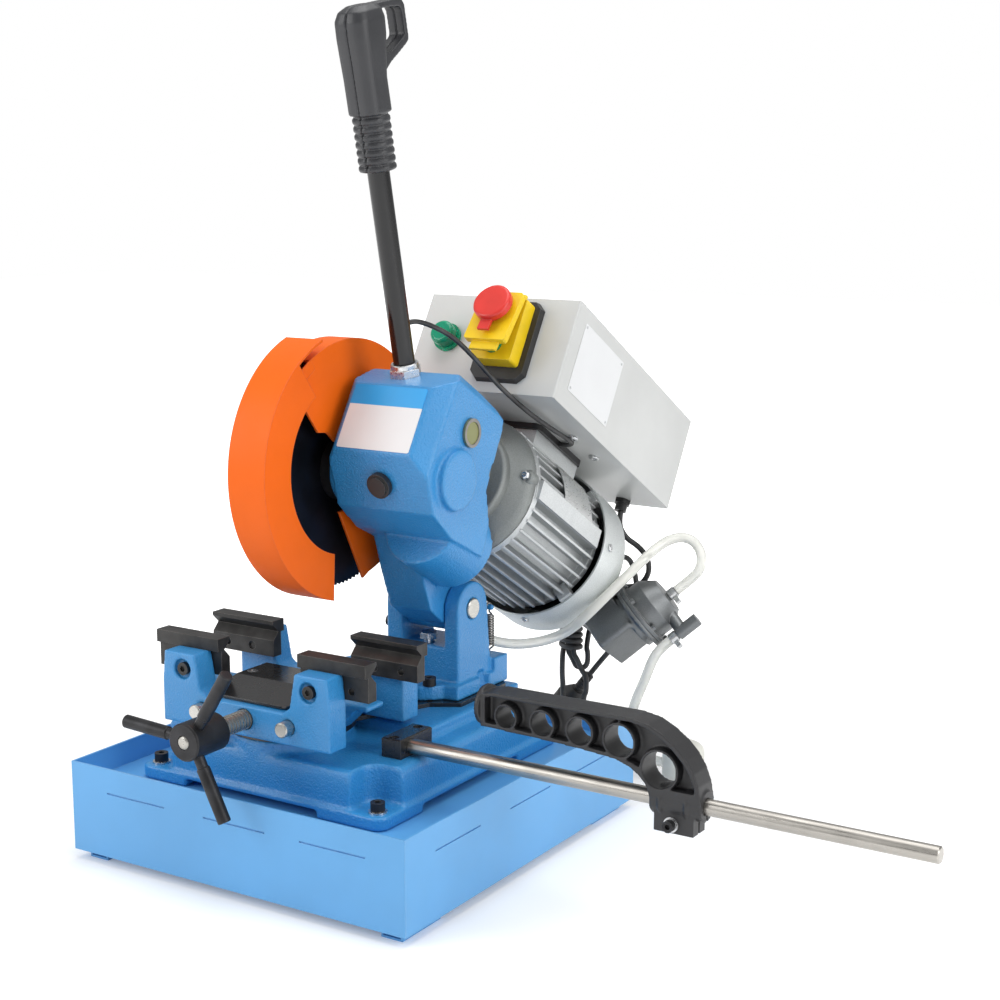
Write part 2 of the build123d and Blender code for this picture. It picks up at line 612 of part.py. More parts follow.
# Column: foot, fork with two ears, lug for the spring
FOOT_SCREWS = [(6.0, 29.0), (58.0, 29.0), (-1.0, 117.0), (40.0, 120.0)]
with BuildPart() as column:
    with BuildSketch(Plane.XY.offset(PLATE_TOP)):
        with BuildLine():
            Polyline((-8, 38), (0, 28), (12, 20), (52, 20), (62, 26), (70, 36), (85, 38), (85, 128), (-8, 128),
                     close=True)
        make_face()
    extrude(amount=FOOT_TOP - PLATE_TOP)
    prism(Plane.YZ.offset(EAR_LEFT),
          [(PIVOT_Y - EAR_R, FOOT_TOP - 1), (PIVOT_Y - EAR_R, PIVOT_Z), (PIVOT_Y + EAR_R, PIVOT_Z),
                                      (105, FOOT_TOP - 1)], EAR_RIGHT - EAR_LEFT)
    rod(shifted(Plane.YZ.offset(EAR_LEFT), PIVOT_Y, PIVOT_Z), EAR_R, EAR_RIGHT - EAR_LEFT)
    box_between(FORK_LEFT, FORK_RIGHT, 0, 140, FORK_FLOOR, 260, Mode.SUBTRACT)
    box_between(50, 85, 104, 128, FOOT_TOP - 1, SPRING_LUG_TOP)
    rod(shifted(Plane.YZ.offset(EAR_LEFT - 1), PIVOT_Y, PIVOT_Z), PIN_R, 100, Mode.SUBTRACT)
    with Locations([(x, y, PLATE_TOP) for x, y in FOOT_SCREWS]):
        Cylinder(M8_R, 60, mode=Mode.SUBTRACT)
    with Locations((39, 56, FORK_FLOOR)):
        Cylinder(5, 50, mode=Mode.SUBTRACT)
    with Locations((85, 86, 146)):
        Cylinder(8, 16, mode=Mode.SUBTRACT)
save(column, "column")

with BuildPart() as column_screws:
    for x, y in FOOT_SCREWS:
        socket_screw(shifted(Plane.XY.offset(FOOT_TOP), x, y), M8_R, FOOT_TOP - PLATE_TOP, M8_HEAD_R, M8_HEAD_H)
    ear_screw = Plane(origin=(EAR_LEFT, PIVOT_Y - 16, 200), x_dir=(0, 1, 0), z_dir=(-1, 0, 0))
    rod(ear_screw, 5.5, 5)
with BuildPart() as pivot_pin:
    rod(shifted(Plane.YZ.offset(EAR_LEFT - 1.5), PIVOT_Y, PIVOT_Z), PIN_R, EAR_RIGHT - EAR_LEFT + 3)
    chamfer(pivot_pin.edges().filter_by(GeomType.CIRCLE), 0.8)
save(pivot_pin, "pivot_pin")

with BuildPart() as depth_stop_bolt:
    bolt = shifted(Plane.XY.offset(FORK_FLOOR), 39, 56)
    rod(bolt.offset(-20), 5, 26)
    hexagon(bolt.offset(4.6), 16, 6)
save_group([column_screws, depth_stop_bolt], "column_bolts")

# Tension spring from the column's lug to the head's spring pin


def biarc(p0, t0, p1, t1):
    """Two tangent arcs from p0 along t0 to p1 along t1."""
    a = Vector(*p0)
    b = Vector(*p1)
    u = Vector(*t0).normalized()
    w = Vector(*t1).normalized()
    v = b - a
    t = u + w
    q = 2 * (1 - u.dot(w))
    if q < 1e-6:
        d = v.dot(v) / (4 * v.dot(w))
    else:
        d = (sqrt(v.dot(t) ** 2 + q * v.dot(v)) - v.dot(t)) / q
    m = (a + b + (u - w) * d) * 0.5
    s = (m - (a + u * d)).normalized()
    for p, q, way in ((a, m, u), (m, b, s)):
        if (q - p).normalized().cross(way).length < 1e-4:
            Line(p, q)
        else:
            TangentArc(p, q, tangent=way)


def helix_point(cx, cy, radius, z0, pitch, turn0, turns):
    """Point and direction on a winding about a vertical axis, after so many turns from its start."""
    angle = 2 * pi * (turn0 + turns)
    point = (cx + radius * cos(angle), cy + radius * sin(angle), z0 + pitch * turns)
    way = 1 if turns >= 0 else -1
    slope = pitch / (2 * pi * radius)
    return point, (-sin(angle) * way, cos(angle) * way, slope * way)


with BuildPart() as return_spring:
    stops = [helix_point(SPRING_X, SPRING_Y, SPRING_R, SPRING_LOW, SPRING_PITCH, 0.0,
                         k / 2) for k in range(2 * SPRING_TURNS + 1)]
    lower = (SPRING_X, SPRING_Y, SPRING_LUG_TOP + 3)
    spring_end = SPRING_PIN_Z - SPRING_PIN_R - 0.2
    upper = (SPRING_X, SPRING_Y, spring_end - 2)
    with BuildLine() as spring_path:
        Line((SPRING_X, SPRING_Y, SPRING_LUG_TOP), lower)
        biarc(lower, (0, 0, 1), *stops[0])
        for k in range(2 * SPRING_TURNS):
            biarc(*stops[k], *stops[k + 1])
        biarc(*stops[-1], upper, (0, 0, 1))
        Line(upper, (SPRING_X, SPRING_Y, spring_end))
    with BuildSketch(Plane(origin=(SPRING_X, SPRING_Y, SPRING_LUG_TOP), z_dir=(0, 0, 1))):
        Circle(SPRING_WIRE_R)
    sweep(path=spring_path.line)
print("spring gap between turns", round(SPRING_PITCH - 2 * SPRING_WIRE_R, 2))
save(return_spring, "return_spring")

# Gear housing


def motor_at(y):
    """Plane across the motor axis at y, facing back."""
    return Plane(origin=head_point(MOTOR_X, y, MOTOR_Z), x_dir=HEAD.x_dir * -1, z_dir=HEAD.y_dir)


seat_slope = radians(LEVER_LEAN + HEAD_TILT)
HOUSING_OUTLINE = [(HOUSING_FRONT, 77), (HOUSING_FRONT, SEAT_Z + (HOUSING_FRONT - SEAT_Y) * tan(seat_slope)),
                   (SEAT_Y + (HOUSING_TOP - SEAT_Z) / tan(seat_slope), HOUSING_TOP), (-124, HOUSING_TOP),
                   (-100, 168), (HOUSING_BACK - 3, 160), (HOUSING_BACK, 152), (HOUSING_BACK + 3, 92),
                   (HOUSING_FOOT - 4, 66), (HOUSING_FOOT, 34), (-120, 30), (-157, 38)]
SPINDLE_SIDE = (BLADE_Y, BLADE_Z)
SIGHT = (-140.0, 127.0)
with BuildPart() as gear_housing:
    prism(side(HOUSING_LEFT), HOUSING_OUTLINE, HOUSING_RIGHT - HOUSING_LEFT)
    corner = [(HOUSING_RIGHT + 1, -199), (HOUSING_RIGHT - 16, -199), (HOUSING_RIGHT + 1, -182)]
    prism(HEAD.offset(10), corner, 180, Mode.SUBTRACT)
    lower = [(HOUSING_LEFT - 1, -199), (HOUSING_LEFT + 9, -199), (HOUSING_LEFT - 1, -189)]
    prism(HEAD.offset(10), lower, 180, Mode.SUBTRACT)
    top_edge = [(HOUSING_RIGHT + 1, HOUSING_TOP + 1), (HOUSING_RIGHT - 12, HOUSING_TOP + 1),
                (HOUSING_RIGHT + 1, 160)]
    prism(front(HOUSING_FOOT), top_edge, 140, Mode.SUBTRACT)
    belly = shifted(front(-47), 73, 44)
    rod(belly, 40, 66)
    prism(side(ARM_LEFT), [(-152, 42), (-120, 45), (-69, 1), (-42, -20), (-13, -23), (24, -3), (22, 8),
                           (-22, 36),
                           (-42, 50), (-64, 58), (-120, 60)], ARM_RIGHT - ARM_LEFT)
    rod(motor_at(HOUSING_BACK), BELL_R + FACE, FRAME_FRONT - 20 - HOUSING_BACK, Mode.SUBTRACT)
    rod(motor_at(FRAME_FRONT - 20), FIN_R + 2.5, 60, Mode.SUBTRACT)
    rod(side(ARM_LEFT), 24, ARM_RIGHT - ARM_LEFT)
    prism(side(52), [(0, 24), (30, 24), (52, 18), (52, 8), (40, 2), (0, -20)], ARM_RIGHT - 52)
    rod(side(ARM_LEFT - 1), PIN_R + RUN, 100, Mode.SUBTRACT)
    rod(shifted(side(HOUSING_RIGHT - 20), *SPINDLE_SIDE), 28, 27)
    rod(shifted(side(-3.5), *SPINDLE_SIDE), 33, 20)
    for angle in (20, 60, 100):
        y = BLADE_Y + 55 * cos(radians(angle))
        z = BLADE_Z + 55 * sin(radians(angle))
        rod(shifted(side(-1.5), y, z), 6, 20)
    rod(shifted(side(22), *SPINDLE_SIDE), 29, 66, Mode.SUBTRACT)
    rod(shifted(side(8), *SPINDLE_SIDE), BEARING_R, 20, Mode.SUBTRACT)
    rod(shifted(side(80), *SPINDLE_SIDE), BEARING_R, 22, Mode.SUBTRACT)
    rod(shifted(side(-10), *SPINDLE_SIDE), SPINDLE_R + 0.4, 40, Mode.SUBTRACT)
    rod(shifted(front(HOUSING_BACK + 1), MOTOR_X, MOTOR_Z), 16, HOUSING_BACK + 181, Mode.SUBTRACT)
    rod(shifted(side(HOUSING_RIGHT - 6), *SIGHT), 12, 10, Mode.SUBTRACT)
    slope = Plane(origin=head_point(62, -176.5, 55.6), x_dir=HEAD.x_dir,
                  z_dir=HEAD.y_dir * -0.669 + HEAD.z_dir * -0.743)
    rod(slope.offset(-14), 7, 30, Mode.SUBTRACT)
    lever_way = HEAD.y_dir * -sin(seat_slope) + HEAD.z_dir * cos(seat_slope)
    lever_seat = Plane(origin=head_point(LEVER_X, SEAT_Y, SEAT_Z), x_dir=HEAD.x_dir, z_dir=lever_way)
    rod(lever_seat.offset(-18), LEVER_R - 2, 40, Mode.SUBTRACT)
    spring_pin_y = (SPRING_Y - PIVOT_Y) * cos(tilt) - (SPRING_PIN_Z - PIVOT_Z) * sin(tilt)
    spring_pin_z = (SPRING_Y - PIVOT_Y) * sin(tilt) + (SPRING_PIN_Z - PIVOT_Z) * cos(tilt)
    rod(shifted(side(53), spring_pin_y, spring_pin_z), SPRING_PIN_R, 22)
save(gear_housing, "gear_housing")

with BuildPart() as oil_plug:
    rod(slope.offset(-12), 7, 12.5)
    rod(slope, 12, 5.5)
    rod(slope.offset(5.5), 9.5, 2)
with BuildPart() as sight_glass:
    rod(shifted(side(HOUSING_RIGHT - 6), *SIGHT), 12, 6)
    ring(shifted(side(HOUSING_RIGHT), *SIGHT), 13.5, 10.5, 3)
    rod(shifted(side(HOUSING_RIGHT), *SIGHT), 10.5, 2)
save_group([oil_plug, sight_glass], "oil_fittings")

# Spindle train
with BuildPart() as bearings:
    for x0 in (8.0, 88.0):
        ring(shifted(side(x0), *SPINDLE_SIDE), BEARING_R, SPINDLE_R + RUN, BEARING_T)
    ring(shifted(front(-168), MOTOR_X, MOTOR_Z), 16, 8 + RUN, 12)
    ring(shifted(front(FRAME_FRONT - 6), MOTOR_X, MOTOR_Z), 20, SHAFT_R + RUN, 12)
    ring(shifted(front(FRAME_BACK + 6), MOTOR_X, MOTOR_Z), 20, SHAFT_R + RUN, 12)
save(bearings, "bearings")

with BuildPart() as spindle:
    rod(shifted(side(BLADE_X - BLADE_T / 2 - 5), *SPINDLE_SIDE), 8, 20)
    rod(shifted(side(BLADE_X + BLADE_T / 2), *SPINDLE_SIDE), NOSE_R, -3.5 - 0.5 - (BLADE_X + BLADE_T / 2))
    rod(shifted(side(-5), *SPINDLE_SIDE), SPINDLE_R, 107)
    rod(shifted(side(BLADE_X - BLADE_T / 2 - 6), *SPINDLE_SIDE), 5, 16, Mode.SUBTRACT)
save(spindle, "spindle")

with BuildPart() as worm_wheel:
    ring(shifted(side(45), *SPINDLE_SIDE), WHEEL_R, SPINDLE_R, 22)
    gap = shifted(side(44), *SPINDLE_SIDE)
    with BuildSketch(gap):
        with PolarLocations(WHEEL_R, WHEEL_TEETH):
            Rectangle(4, 1.9)
    extrude(amount=24, mode=Mode.SUBTRACT)
save(worm_wheel, "worm_wheel")

with BuildPart() as saw_blade:
    blade_plane = shifted(side(BLADE_X - BLADE_T / 2), *SPINDLE_SIDE)
    tooth_points = []
    for k in range(BLADE_TEETH):
        tip_angle = 2 * pi * k / BLADE_TEETH
        root_angle = 2 * pi * (k + 0.25) / BLADE_TEETH
        tooth_points.append((BLADE_R * cos(tip_angle), BLADE_R * sin(tip_angle)))
        tooth_points.append(((BLADE_R - TOOTH) * cos(root_angle), (BLADE_R - TOOTH) * sin(root_angle)))
    prism(blade_plane, tooth_points, BLADE_T)
    rod(blade_plane.offset(-1), 8, 5, Mode.SUBTRACT)
save(saw_blade, "saw_blade")

with BuildPart() as blade_clamp:
    clamp = shifted(side(BLADE_X - BLADE_T / 2), *SPINDLE_SIDE)
    ring(clamp, NOSE_R, 8, -5)
    rod(clamp.offset(-5), 11, -4.5)
    rod(clamp.offset(6), 5, -12)
    hexagon(clamp.offset(-7), 9, -4, Mode.SUBTRACT)
save(blade_clamp, "blade_clamp")

# Blade guards: turned about the spindle axis


def radial_plane(centre, angle):
    """Plane through an axis along X: sketch x runs along X, sketch y outwards at the given angle."""
    out = HEAD.y_dir * cos(radians(angle)) + HEAD.z_dir * sin(radians(angle))
    return Plane(origin=head_point(0, *centre), x_dir=HEAD.x_dir, z_dir=HEAD.x_dir.cross(out))


HOOD_RIGHT = -1.5
HOOD_LEFT = -32.5
GUARD_RIGHT = 3.0
GUARD_LEFT = -39.0
RIM_CENTRE = (BLADE_Y - 7.0, BLADE_Z + 1.5)
LIP_CENTRE = (BLADE_Y - 14.4, BLADE_Z - 2.8)
LIP_R = 82.5
HOOD_FROM = 35.0
HOOD_TO = 150.0
RIM_TO = 140.0
RIM_FROM = 287.0
LIP_TO = 158.0
TIP_EDGE = [(-51.7, 14.4), (-63.5, 9.1), (-107.0, 25.6)]
LIP_END_CUT = [(13.9, -79.0), (36.5, -121.5), (70.0, -121.5), (70.0, -79.0)]


def wall(centre, points, start, sweep_angle, mode=Mode.ADD):
    with BuildSketch(radial_plane(centre, start)) as profile:
        with BuildLine():
            Polyline(*points, close=True)
        make_face()
    revolve(profile.sketch, axis=Axis(head_point(0, *centre), HEAD.x_dir), revolution_arc=sweep_angle,
            mode=mode)


with BuildPart() as blade_hood:
    t = GUARD_T
    wall(SPINDLE_SIDE, [(HOOD_LEFT, 0), (HOOD_LEFT, HOOD_R), (HOOD_RIGHT, HOOD_R), (HOOD_RIGHT, 38),
                        (HOOD_RIGHT - t, 38),
          (HOOD_RIGHT - t, HOOD_R - t), (HOOD_LEFT + t, HOOD_R - t), (HOOD_LEFT + t, 0)], HOOD_FROM,
          HOOD_TO - HOOD_FROM)
    wall(SPINDLE_SIDE, [(HOOD_RIGHT - t, 38), (HOOD_RIGHT - t, 106), (HOOD_RIGHT, 106), (HOOD_RIGHT, 38)], -45,
         45 + HOOD_FROM)
    hub_side = shifted(side(HOOD_LEFT), *SPINDLE_SIDE)
    rod(hub_side, 16, t)
    rod(hub_side.offset(0.5), 5, GUARD_LEFT - HOOD_LEFT - 4)
    rod(hub_side.offset(GUARD_LEFT - HOOD_LEFT - 0.5), 9, -3)
    tip_plane = shifted(side(HOOD_RIGHT - t), *SPINDLE_SIDE)
    prism(tip_plane, [(38 * cos(radians(a)), 38 * sin(radians(a))) for a in (150, 156, 162)] + TIP_EDGE
          + [(112 * cos(radians(a)), 112 * sin(radians(a))) for a in (158, 150)], t)
    prism(tip_plane, [(43 * cos(radians(-87)), 43 * sin(radians(-87))),
                      (109 * cos(radians(-51)), 109 * sin(radians(-51))),
                      (104 * cos(radians(-40)), 104 * sin(radians(-40))), (60, -20), (40, -12)], t)
    nozzle_plane = shifted(side(HOOD_RIGHT), -55, 30)
    slab(nozzle_plane, 12, 14, 10.5)
save(blade_hood, "blade_hood")

with BuildPart() as front_guard:
    t = GUARD_T
    wall(RIM_CENTRE, [(GUARD_LEFT, 0), (GUARD_LEFT, GUARD_R), (GUARD_RIGHT, GUARD_R),
                      (GUARD_RIGHT, GUARD_R - t),
          (GUARD_LEFT + t, GUARD_R - t), (GUARD_LEFT + t, 0)], RIM_TO, RIM_FROM - RIM_TO)
    wall(RIM_CENTRE, [(GUARD_RIGHT - t, 60), (GUARD_RIGHT - t, GUARD_R - 1), (GUARD_RIGHT, GUARD_R - 1),
                      (GUARD_RIGHT, 60)],
         LIP_TO, RIM_FROM - LIP_TO)
    rod(shifted(side(GUARD_RIGHT - t - 1), *LIP_CENTRE), LIP_R, t + 2, Mode.SUBTRACT)
    prism(shifted(side(GUARD_RIGHT - t - 1), *RIM_CENTRE), LIP_END_CUT, t + 2, Mode.SUBTRACT)
    hub_side = shifted(side(GUARD_LEFT), *SPINDLE_SIDE)
    rod(hub_side, 14, t)
    rod(hub_side.offset(-1), 5 + RUN, 10, Mode.SUBTRACT)
save(front_guard, "front_guard")

# Motor: finned frame, front bell, fan cover, and what turns inside
lug_out = sqrt((COVER_R - COVER_T) ** 2 - 7 ** 2)
with BuildPart() as motor_frame:
    rod(motor_at(FRAME_FRONT), FRAME_R, FRAME_BACK - FRAME_FRONT)
    with BuildSketch(motor_at(FRAME_FRONT + 6)):
        with PolarLocations((FRAME_R + FIN_R) / 2 - 2, 40):
            Rectangle(FIN_R - FRAME_R + 4, 2.6)
    extrude(amount=FRAME_BACK - FRAME_FRONT - 8)
    ring(motor_at(FRAME_FRONT), FIN_R - 1, FRAME_R - 4, 8)
    prism(motor_at(FRAME_FRONT + 4), [(-FIN_R + 12, -1), (-FIN_R - 3, -1), (-FIN_R - 3, 18), (-FIN_R + 12, 18)],
          134)
    prism(motor_at(2), [(-36, 50), (36, 50), (36, BOX_Z0 - MOTOR_Z - 6), (-36, BOX_Z0 - MOTOR_Z - 6)], 94)
    rod(motor_at(FRAME_BACK), 70, 7)
    with BuildSketch(motor_at(FRAME_BACK - 4)):
        with PolarLocations((64.5 + lug_out) / 2, 4, 45):
            Rectangle(lug_out - 64.5, 14)
    extrude(amount=14)
    rod(motor_at(FRAME_FRONT - 1), FRAME_R - 6, FRAME_BACK - FRAME_FRONT - 5, Mode.SUBTRACT)
    rod(motor_at(FRAME_BACK - 10), 20, 16, Mode.SUBTRACT)
    rod(motor_at(FRAME_BACK - 10), SHAFT_R + 2, 40, Mode.SUBTRACT)
save(motor_frame, "motor_frame")

with BuildPart() as motor_bell:
    with BuildSketch(side(MOTOR_X)):
        with BuildLine():
            Polyline((HOUSING_BACK, MOTOR_Z), (HOUSING_BACK, MOTOR_Z + 38), (FRAME_FRONT - 32, MOTOR_Z + 38),
                     (FRAME_FRONT - 27, MOTOR_Z + 41), (FRAME_FRONT - 16, MOTOR_Z + 60),
                     (FRAME_FRONT - 10, MOTOR_Z + 69),
                     (FRAME_FRONT - 6, MOTOR_Z + 73), (FRAME_FRONT, MOTOR_Z + 74), (FRAME_FRONT, MOTOR_Z),
                     close=True)
        make_face()
    revolve(axis=Axis(head_point(MOTOR_X, 0, MOTOR_Z), HEAD.y_dir))
    rod(motor_at(HOUSING_BACK + 14), 31, 22, Mode.SUBTRACT)
    rod(motor_at(FRAME_FRONT - 20), 20, 21, Mode.SUBTRACT)
    rod(motor_at(HOUSING_BACK - 1), 16, 60, Mode.SUBTRACT)
    blade_side = shifted(side(HOOD_LEFT), *SPINDLE_SIDE)
    rod(blade_side, BLADE_R + 3, -13 - HOOD_LEFT, Mode.SUBTRACT)
    rod(blade_side, 108, HOOD_RIGHT + 2 - HOOD_LEFT, Mode.SUBTRACT)
    wall(SPINDLE_SIDE, [(HOOD_LEFT, 100), (HOOD_LEFT, HOOD_R + 2), (HOOD_RIGHT + 2, HOOD_R + 2),
                        (HOOD_RIGHT + 2, 100)],
         HOOD_FROM - 2, 40, Mode.SUBTRACT)
save(motor_bell, "motor_bell")

with BuildPart() as stator:
    ring(motor_at(12), FRAME_R - 6, 36, 82)
    ring(motor_at(4), FRAME_R - 9, 39, 98)
save(stator, "stator")

with BuildPart() as rotor:
    rod(motor_at(-179), 8, 64)
    rod(motor_at(-120), SHAFT_R - 1.5, 62)
    rod(motor_at(-60), SHAFT_R, 224)
    rod(motor_at(14), 35.5, 78)
    rod(motor_at(-166), WORM_R, 46)
    for k in range(8):
        ring(motor_at(-160 + 4.7 * k), WORM_R + 1, WORM_R - 2, 2.0, Mode.SUBTRACT)
    rod(motor_at(COVER_BACK - 24), 8, 66)
    eccentric = Plane(origin=head_point(MOTOR_X + 2, 216, MOTOR_Z), x_dir=HEAD.x_dir * -1, z_dir=HEAD.y_dir)
    rod(eccentric, 13, 20)
save(rotor, "rotor")

with BuildPart() as cooling_fan:
    ring(motor_at(130), 24, SHAFT_R, 24)
    rod(motor_at(150), 64, 3)
    with BuildSketch(motor_at(132)):
        with PolarLocations(43, 8):
            Rectangle(42, 3)
    extrude(amount=19)
    rod(motor_at(120), SHAFT_R, 60, Mode.SUBTRACT)
save(cooling_fan, "cooling_fan")

with BuildPart() as fan_cover:
    with BuildSketch(side(MOTOR_X)):
        with BuildLine():
            Polyline((FRAME_BACK + 1, MOTOR_Z + COVER_R), (164, MOTOR_Z + COVER_R), (175, MOTOR_Z + 74),
                     (182, MOTOR_Z + 60), (COVER_BACK, MOTOR_Z + 40), (COVER_BACK, MOTOR_Z + 12),
                     (COVER_BACK - 2, MOTOR_Z + 12), (COVER_BACK - 2, MOTOR_Z + 40), (180, MOTOR_Z + 59),
                     (173.4, MOTOR_Z + 72.6), (163.4, MOTOR_Z + COVER_R - 2),
                     (FRAME_BACK + 1, MOTOR_Z + COVER_R - 2),
                     close=True)
        make_face()
    revolve(axis=Axis(head_point(MOTOR_X, 0, MOTOR_Z), HEAD.y_dir))
save(fan_cover, "fan_cover")

# Control box, its gasket and the switch
with BuildPart() as terminal_pad:
    with BuildSketch(HEAD.offset(BOX_Z0 - 6)):
        with Locations((MOTOR_X, 49)):
            RectangleRounded(80, 100, 8)
    extrude(amount=6)
BOX_MID = ((BOX_X0 + BOX_X1) / 2, (BOX_Y0 + BOX_Y1) / 2)
LAMP = (7.3, 252.0)
SWITCH_X = 78.0
SWITCH_Z = 251.0
GLAND = (96.0, 202.0)
with BuildPart() as control_box:
    with BuildSketch(shifted(HEAD.offset(BOX_Z0), *BOX_MID)):
        Rectangle(BOX_X1 - BOX_X0, BOX_Y1 - BOX_Y0)
    extrude(amount=BOX_Z1 - BOX_Z0)
    long_edges = control_box.edges().filter_by(lambda e: abs(e.length - (BOX_Z1 - BOX_Z0)) < 0.01)
    fillet(long_edges, 2)
    with BuildSketch(shifted(HEAD.offset(BOX_Z0 + BOX_T), *BOX_MID)):
        Rectangle(BOX_X1 - BOX_X0 - 2 * BOX_T, BOX_Y1 - BOX_Y0 - 2 * BOX_T)
    extrude(amount=BOX_Z1 - BOX_Z0 - 2 * BOX_T, mode=Mode.SUBTRACT)
    rod(shifted(front(BOX_Y0 + 5), *LAMP), 8, 20, Mode.SUBTRACT)
    slab(shifted(front(BOX_Y0 + 5), SWITCH_X, SWITCH_Z), 36, 52, 20, Mode.SUBTRACT)
    rod(shifted(HEAD.offset(BOX_Z0 - 5), *GLAND), 6, 15, Mode.SUBTRACT)
save(control_box, "control_box")

with BuildPart() as pilot_lamp:
    lamp_plane = shifted(front(BOX_Y0), *LAMP)
    rod(lamp_plane.offset(-12), 8, 12)
    rod(lamp_plane, 14.5, 4)
    rod(lamp_plane.offset(4), 12.5, 13)
    round_edges = pilot_lamp.edges().filter_by(GeomType.CIRCLE)
    fillet(round_edges.filter_by(lambda edge: abs(edge.radius - 12.5) < 0.01).sort_by(Axis.Y)[0], 4)
save(pilot_lamp, "pilot_lamp")

PLATE_FACE = BOX_Y0 - 7.0
BODY_FACE = PLATE_FACE - 17.0
BUTTON_X = 78.0
BUTTON_Z = 238.0
MUSHROOM_Z = 268.0
with BuildPart() as switch_base:
    plate_plane = shifted(front(BOX_Y0), SWITCH_X, SWITCH_Z)
    with BuildSketch(plate_plane):
        Rectangle(62, 86)
        chamfer(vertices(), 8)
    extrude(amount=7, taper=12)
    slab(plate_plane.offset(-24), 36, 52, 24)
    slab(shifted(plate_plane.offset(-20), 0, 2), 30, 42, 40, Mode.SUBTRACT)
save(switch_base, "switch_base")

FLAP_BACK = BODY_FACE - 2.5
FLAP_TOP = SWITCH_Z + 37
HINGE_R = 2.2
FLAP_HINGE = Axis(head_point(0, FLAP_BACK, FLAP_TOP), HEAD.x_dir * -1)
hinge_end = shifted(side(SWITCH_X - 22), FLAP_BACK, FLAP_TOP)
with BuildPart() as switch_body:
    body_plane = shifted(front(PLATE_FACE), SWITCH_X, SWITCH_Z + 4)
    slab(body_plane, 46, 66, 17)
    fillet(switch_body.edges().filter_by(HEAD_LENGTH), 3)
    rod(hinge_end, HINGE_R, 44)
    for along in (-19, 19):
        slab(shifted(front(BODY_FACE + 1), SWITCH_X + along, FLAP_TOP), 6, 2 * HINGE_R,
             1 + BODY_FACE - FLAP_BACK - FACE)
    rod(shifted(front(PLATE_FACE + 1), BUTTON_X, BUTTON_Z), 9 + FACE, 30, Mode.SUBTRACT)
    rod(shifted(front(PLATE_FACE + 1), BUTTON_X, MUSHROOM_Z), 8 + FACE, 30, Mode.SUBTRACT)
save(switch_body, "switch_body")

with BuildPart() as start_button:
    rod(shifted(front(PLATE_FACE - 5), BUTTON_X, BUTTON_Z), 9, 14)
save(start_button, "start_button")

with BuildPart() as switch_flap:
    slab(shifted(front(FLAP_BACK), SWITCH_X, SWITCH_Z + 9), 46, 56, 7)
    fillet(switch_flap.edges().filter_by(HEAD_LENGTH), 3)
    slab(shifted(front(FLAP_BACK), SWITCH_X, SWITCH_Z - 22), 30, 12, 3)
    rod(shifted(front(FLAP_BACK + 1), BUTTON_X, MUSHROOM_Z), 6 + RUN, 20, Mode.SUBTRACT)
    rod(hinge_end.offset(-2), HINGE_R + RUN, 48, Mode.SUBTRACT)
save(switch_flap, "switch_flap", FLAP_HINGE, FLAP_AJAR)

with BuildPart() as stop_mushroom:
    cap_plane = shifted(front(FLAP_BACK - 7 - 5), BUTTON_X, MUSHROOM_Z)
    rod(cap_plane, 19.5, 8)
    fillet(stop_mushroom.edges().filter_by(GeomType.CIRCLE).sort_by(Axis.Y)[0], 3)
    rod(cap_plane.offset(0.5), 6, -16)
    slab(shifted(cap_plane, 0, -22), 12, 16, 3)
save(stop_mushroom, "stop_mushroom", FLAP_HINGE, FLAP_AJAR)

# Hand lever
LEVER = lever_seat
with BuildPart() as lever_tube:
    rod(LEVER.offset(-16), LEVER_R - 2, 17)
    ring(LEVER.offset(NUT_H - 6), LEVER_R, LEVER_R - 2.5, LEVER_FREE + COLLAR_LEN + 30 - NUT_H + 6)
    rod(LEVER, LEVER_R - 2, NUT_H)
with BuildPart() as lever_nut:
    hexagon(LEVER, 27, NUT_H - 6)
    ring(LEVER.offset(NUT_H - 6), 13, LEVER_R, 5)
    rod(LEVER.offset(-1), LEVER_R - 2, NUT_H + 2, Mode.SUBTRACT)
    chamfer(lever_nut.faces().sort_by(Axis(LEVER.origin, LEVER.z_dir))[-1].edges(), 0.8)
save_group([lever_tube, lever_nut], "lever_tube")

# Grip: ribbed collar and body with a finger loop at the back, split on its middle plane
LEVER_SIDE = Plane(origin=LEVER.origin, x_dir=LEVER.y_dir, z_dir=LEVER.x_dir)
GRIP_BOTTOM = LEVER_FREE
GRIP_BASE = LEVER_FREE + COLLAR_LEN
GRIP_SECTIONS = [(0, 16.5, -17, 17, 11), (30, 16.5, -17.5, 16.5, 11), (48, 17, -18, 19, 11),
                 (66, 17.5, -19, 23, 12), (GRIP_LEN - 12, 17.5, -18.5, 24, 12),
                 (GRIP_LEN - 4.5, 15, -15, 23, 11), (GRIP_LEN, 9, -7, 19, 8)]
LOOP_OUTLINE = [(8, 22), (17, 30), (22, 35), (31, 40), (50, 48.5), (58.5, 53), (60, 57),
                (59.5, GRIP_LEN - 8), (57, GRIP_LEN - 3), (51, GRIP_LEN - 1), (8, GRIP_LEN - 0.5)]
LOOP_HOLE = [(24, 48), (31, 48), (52, 57.5), (55, 60), (54.5, GRIP_LEN - 12), (51, GRIP_LEN - 8),
             (25, GRIP_LEN - 6)]


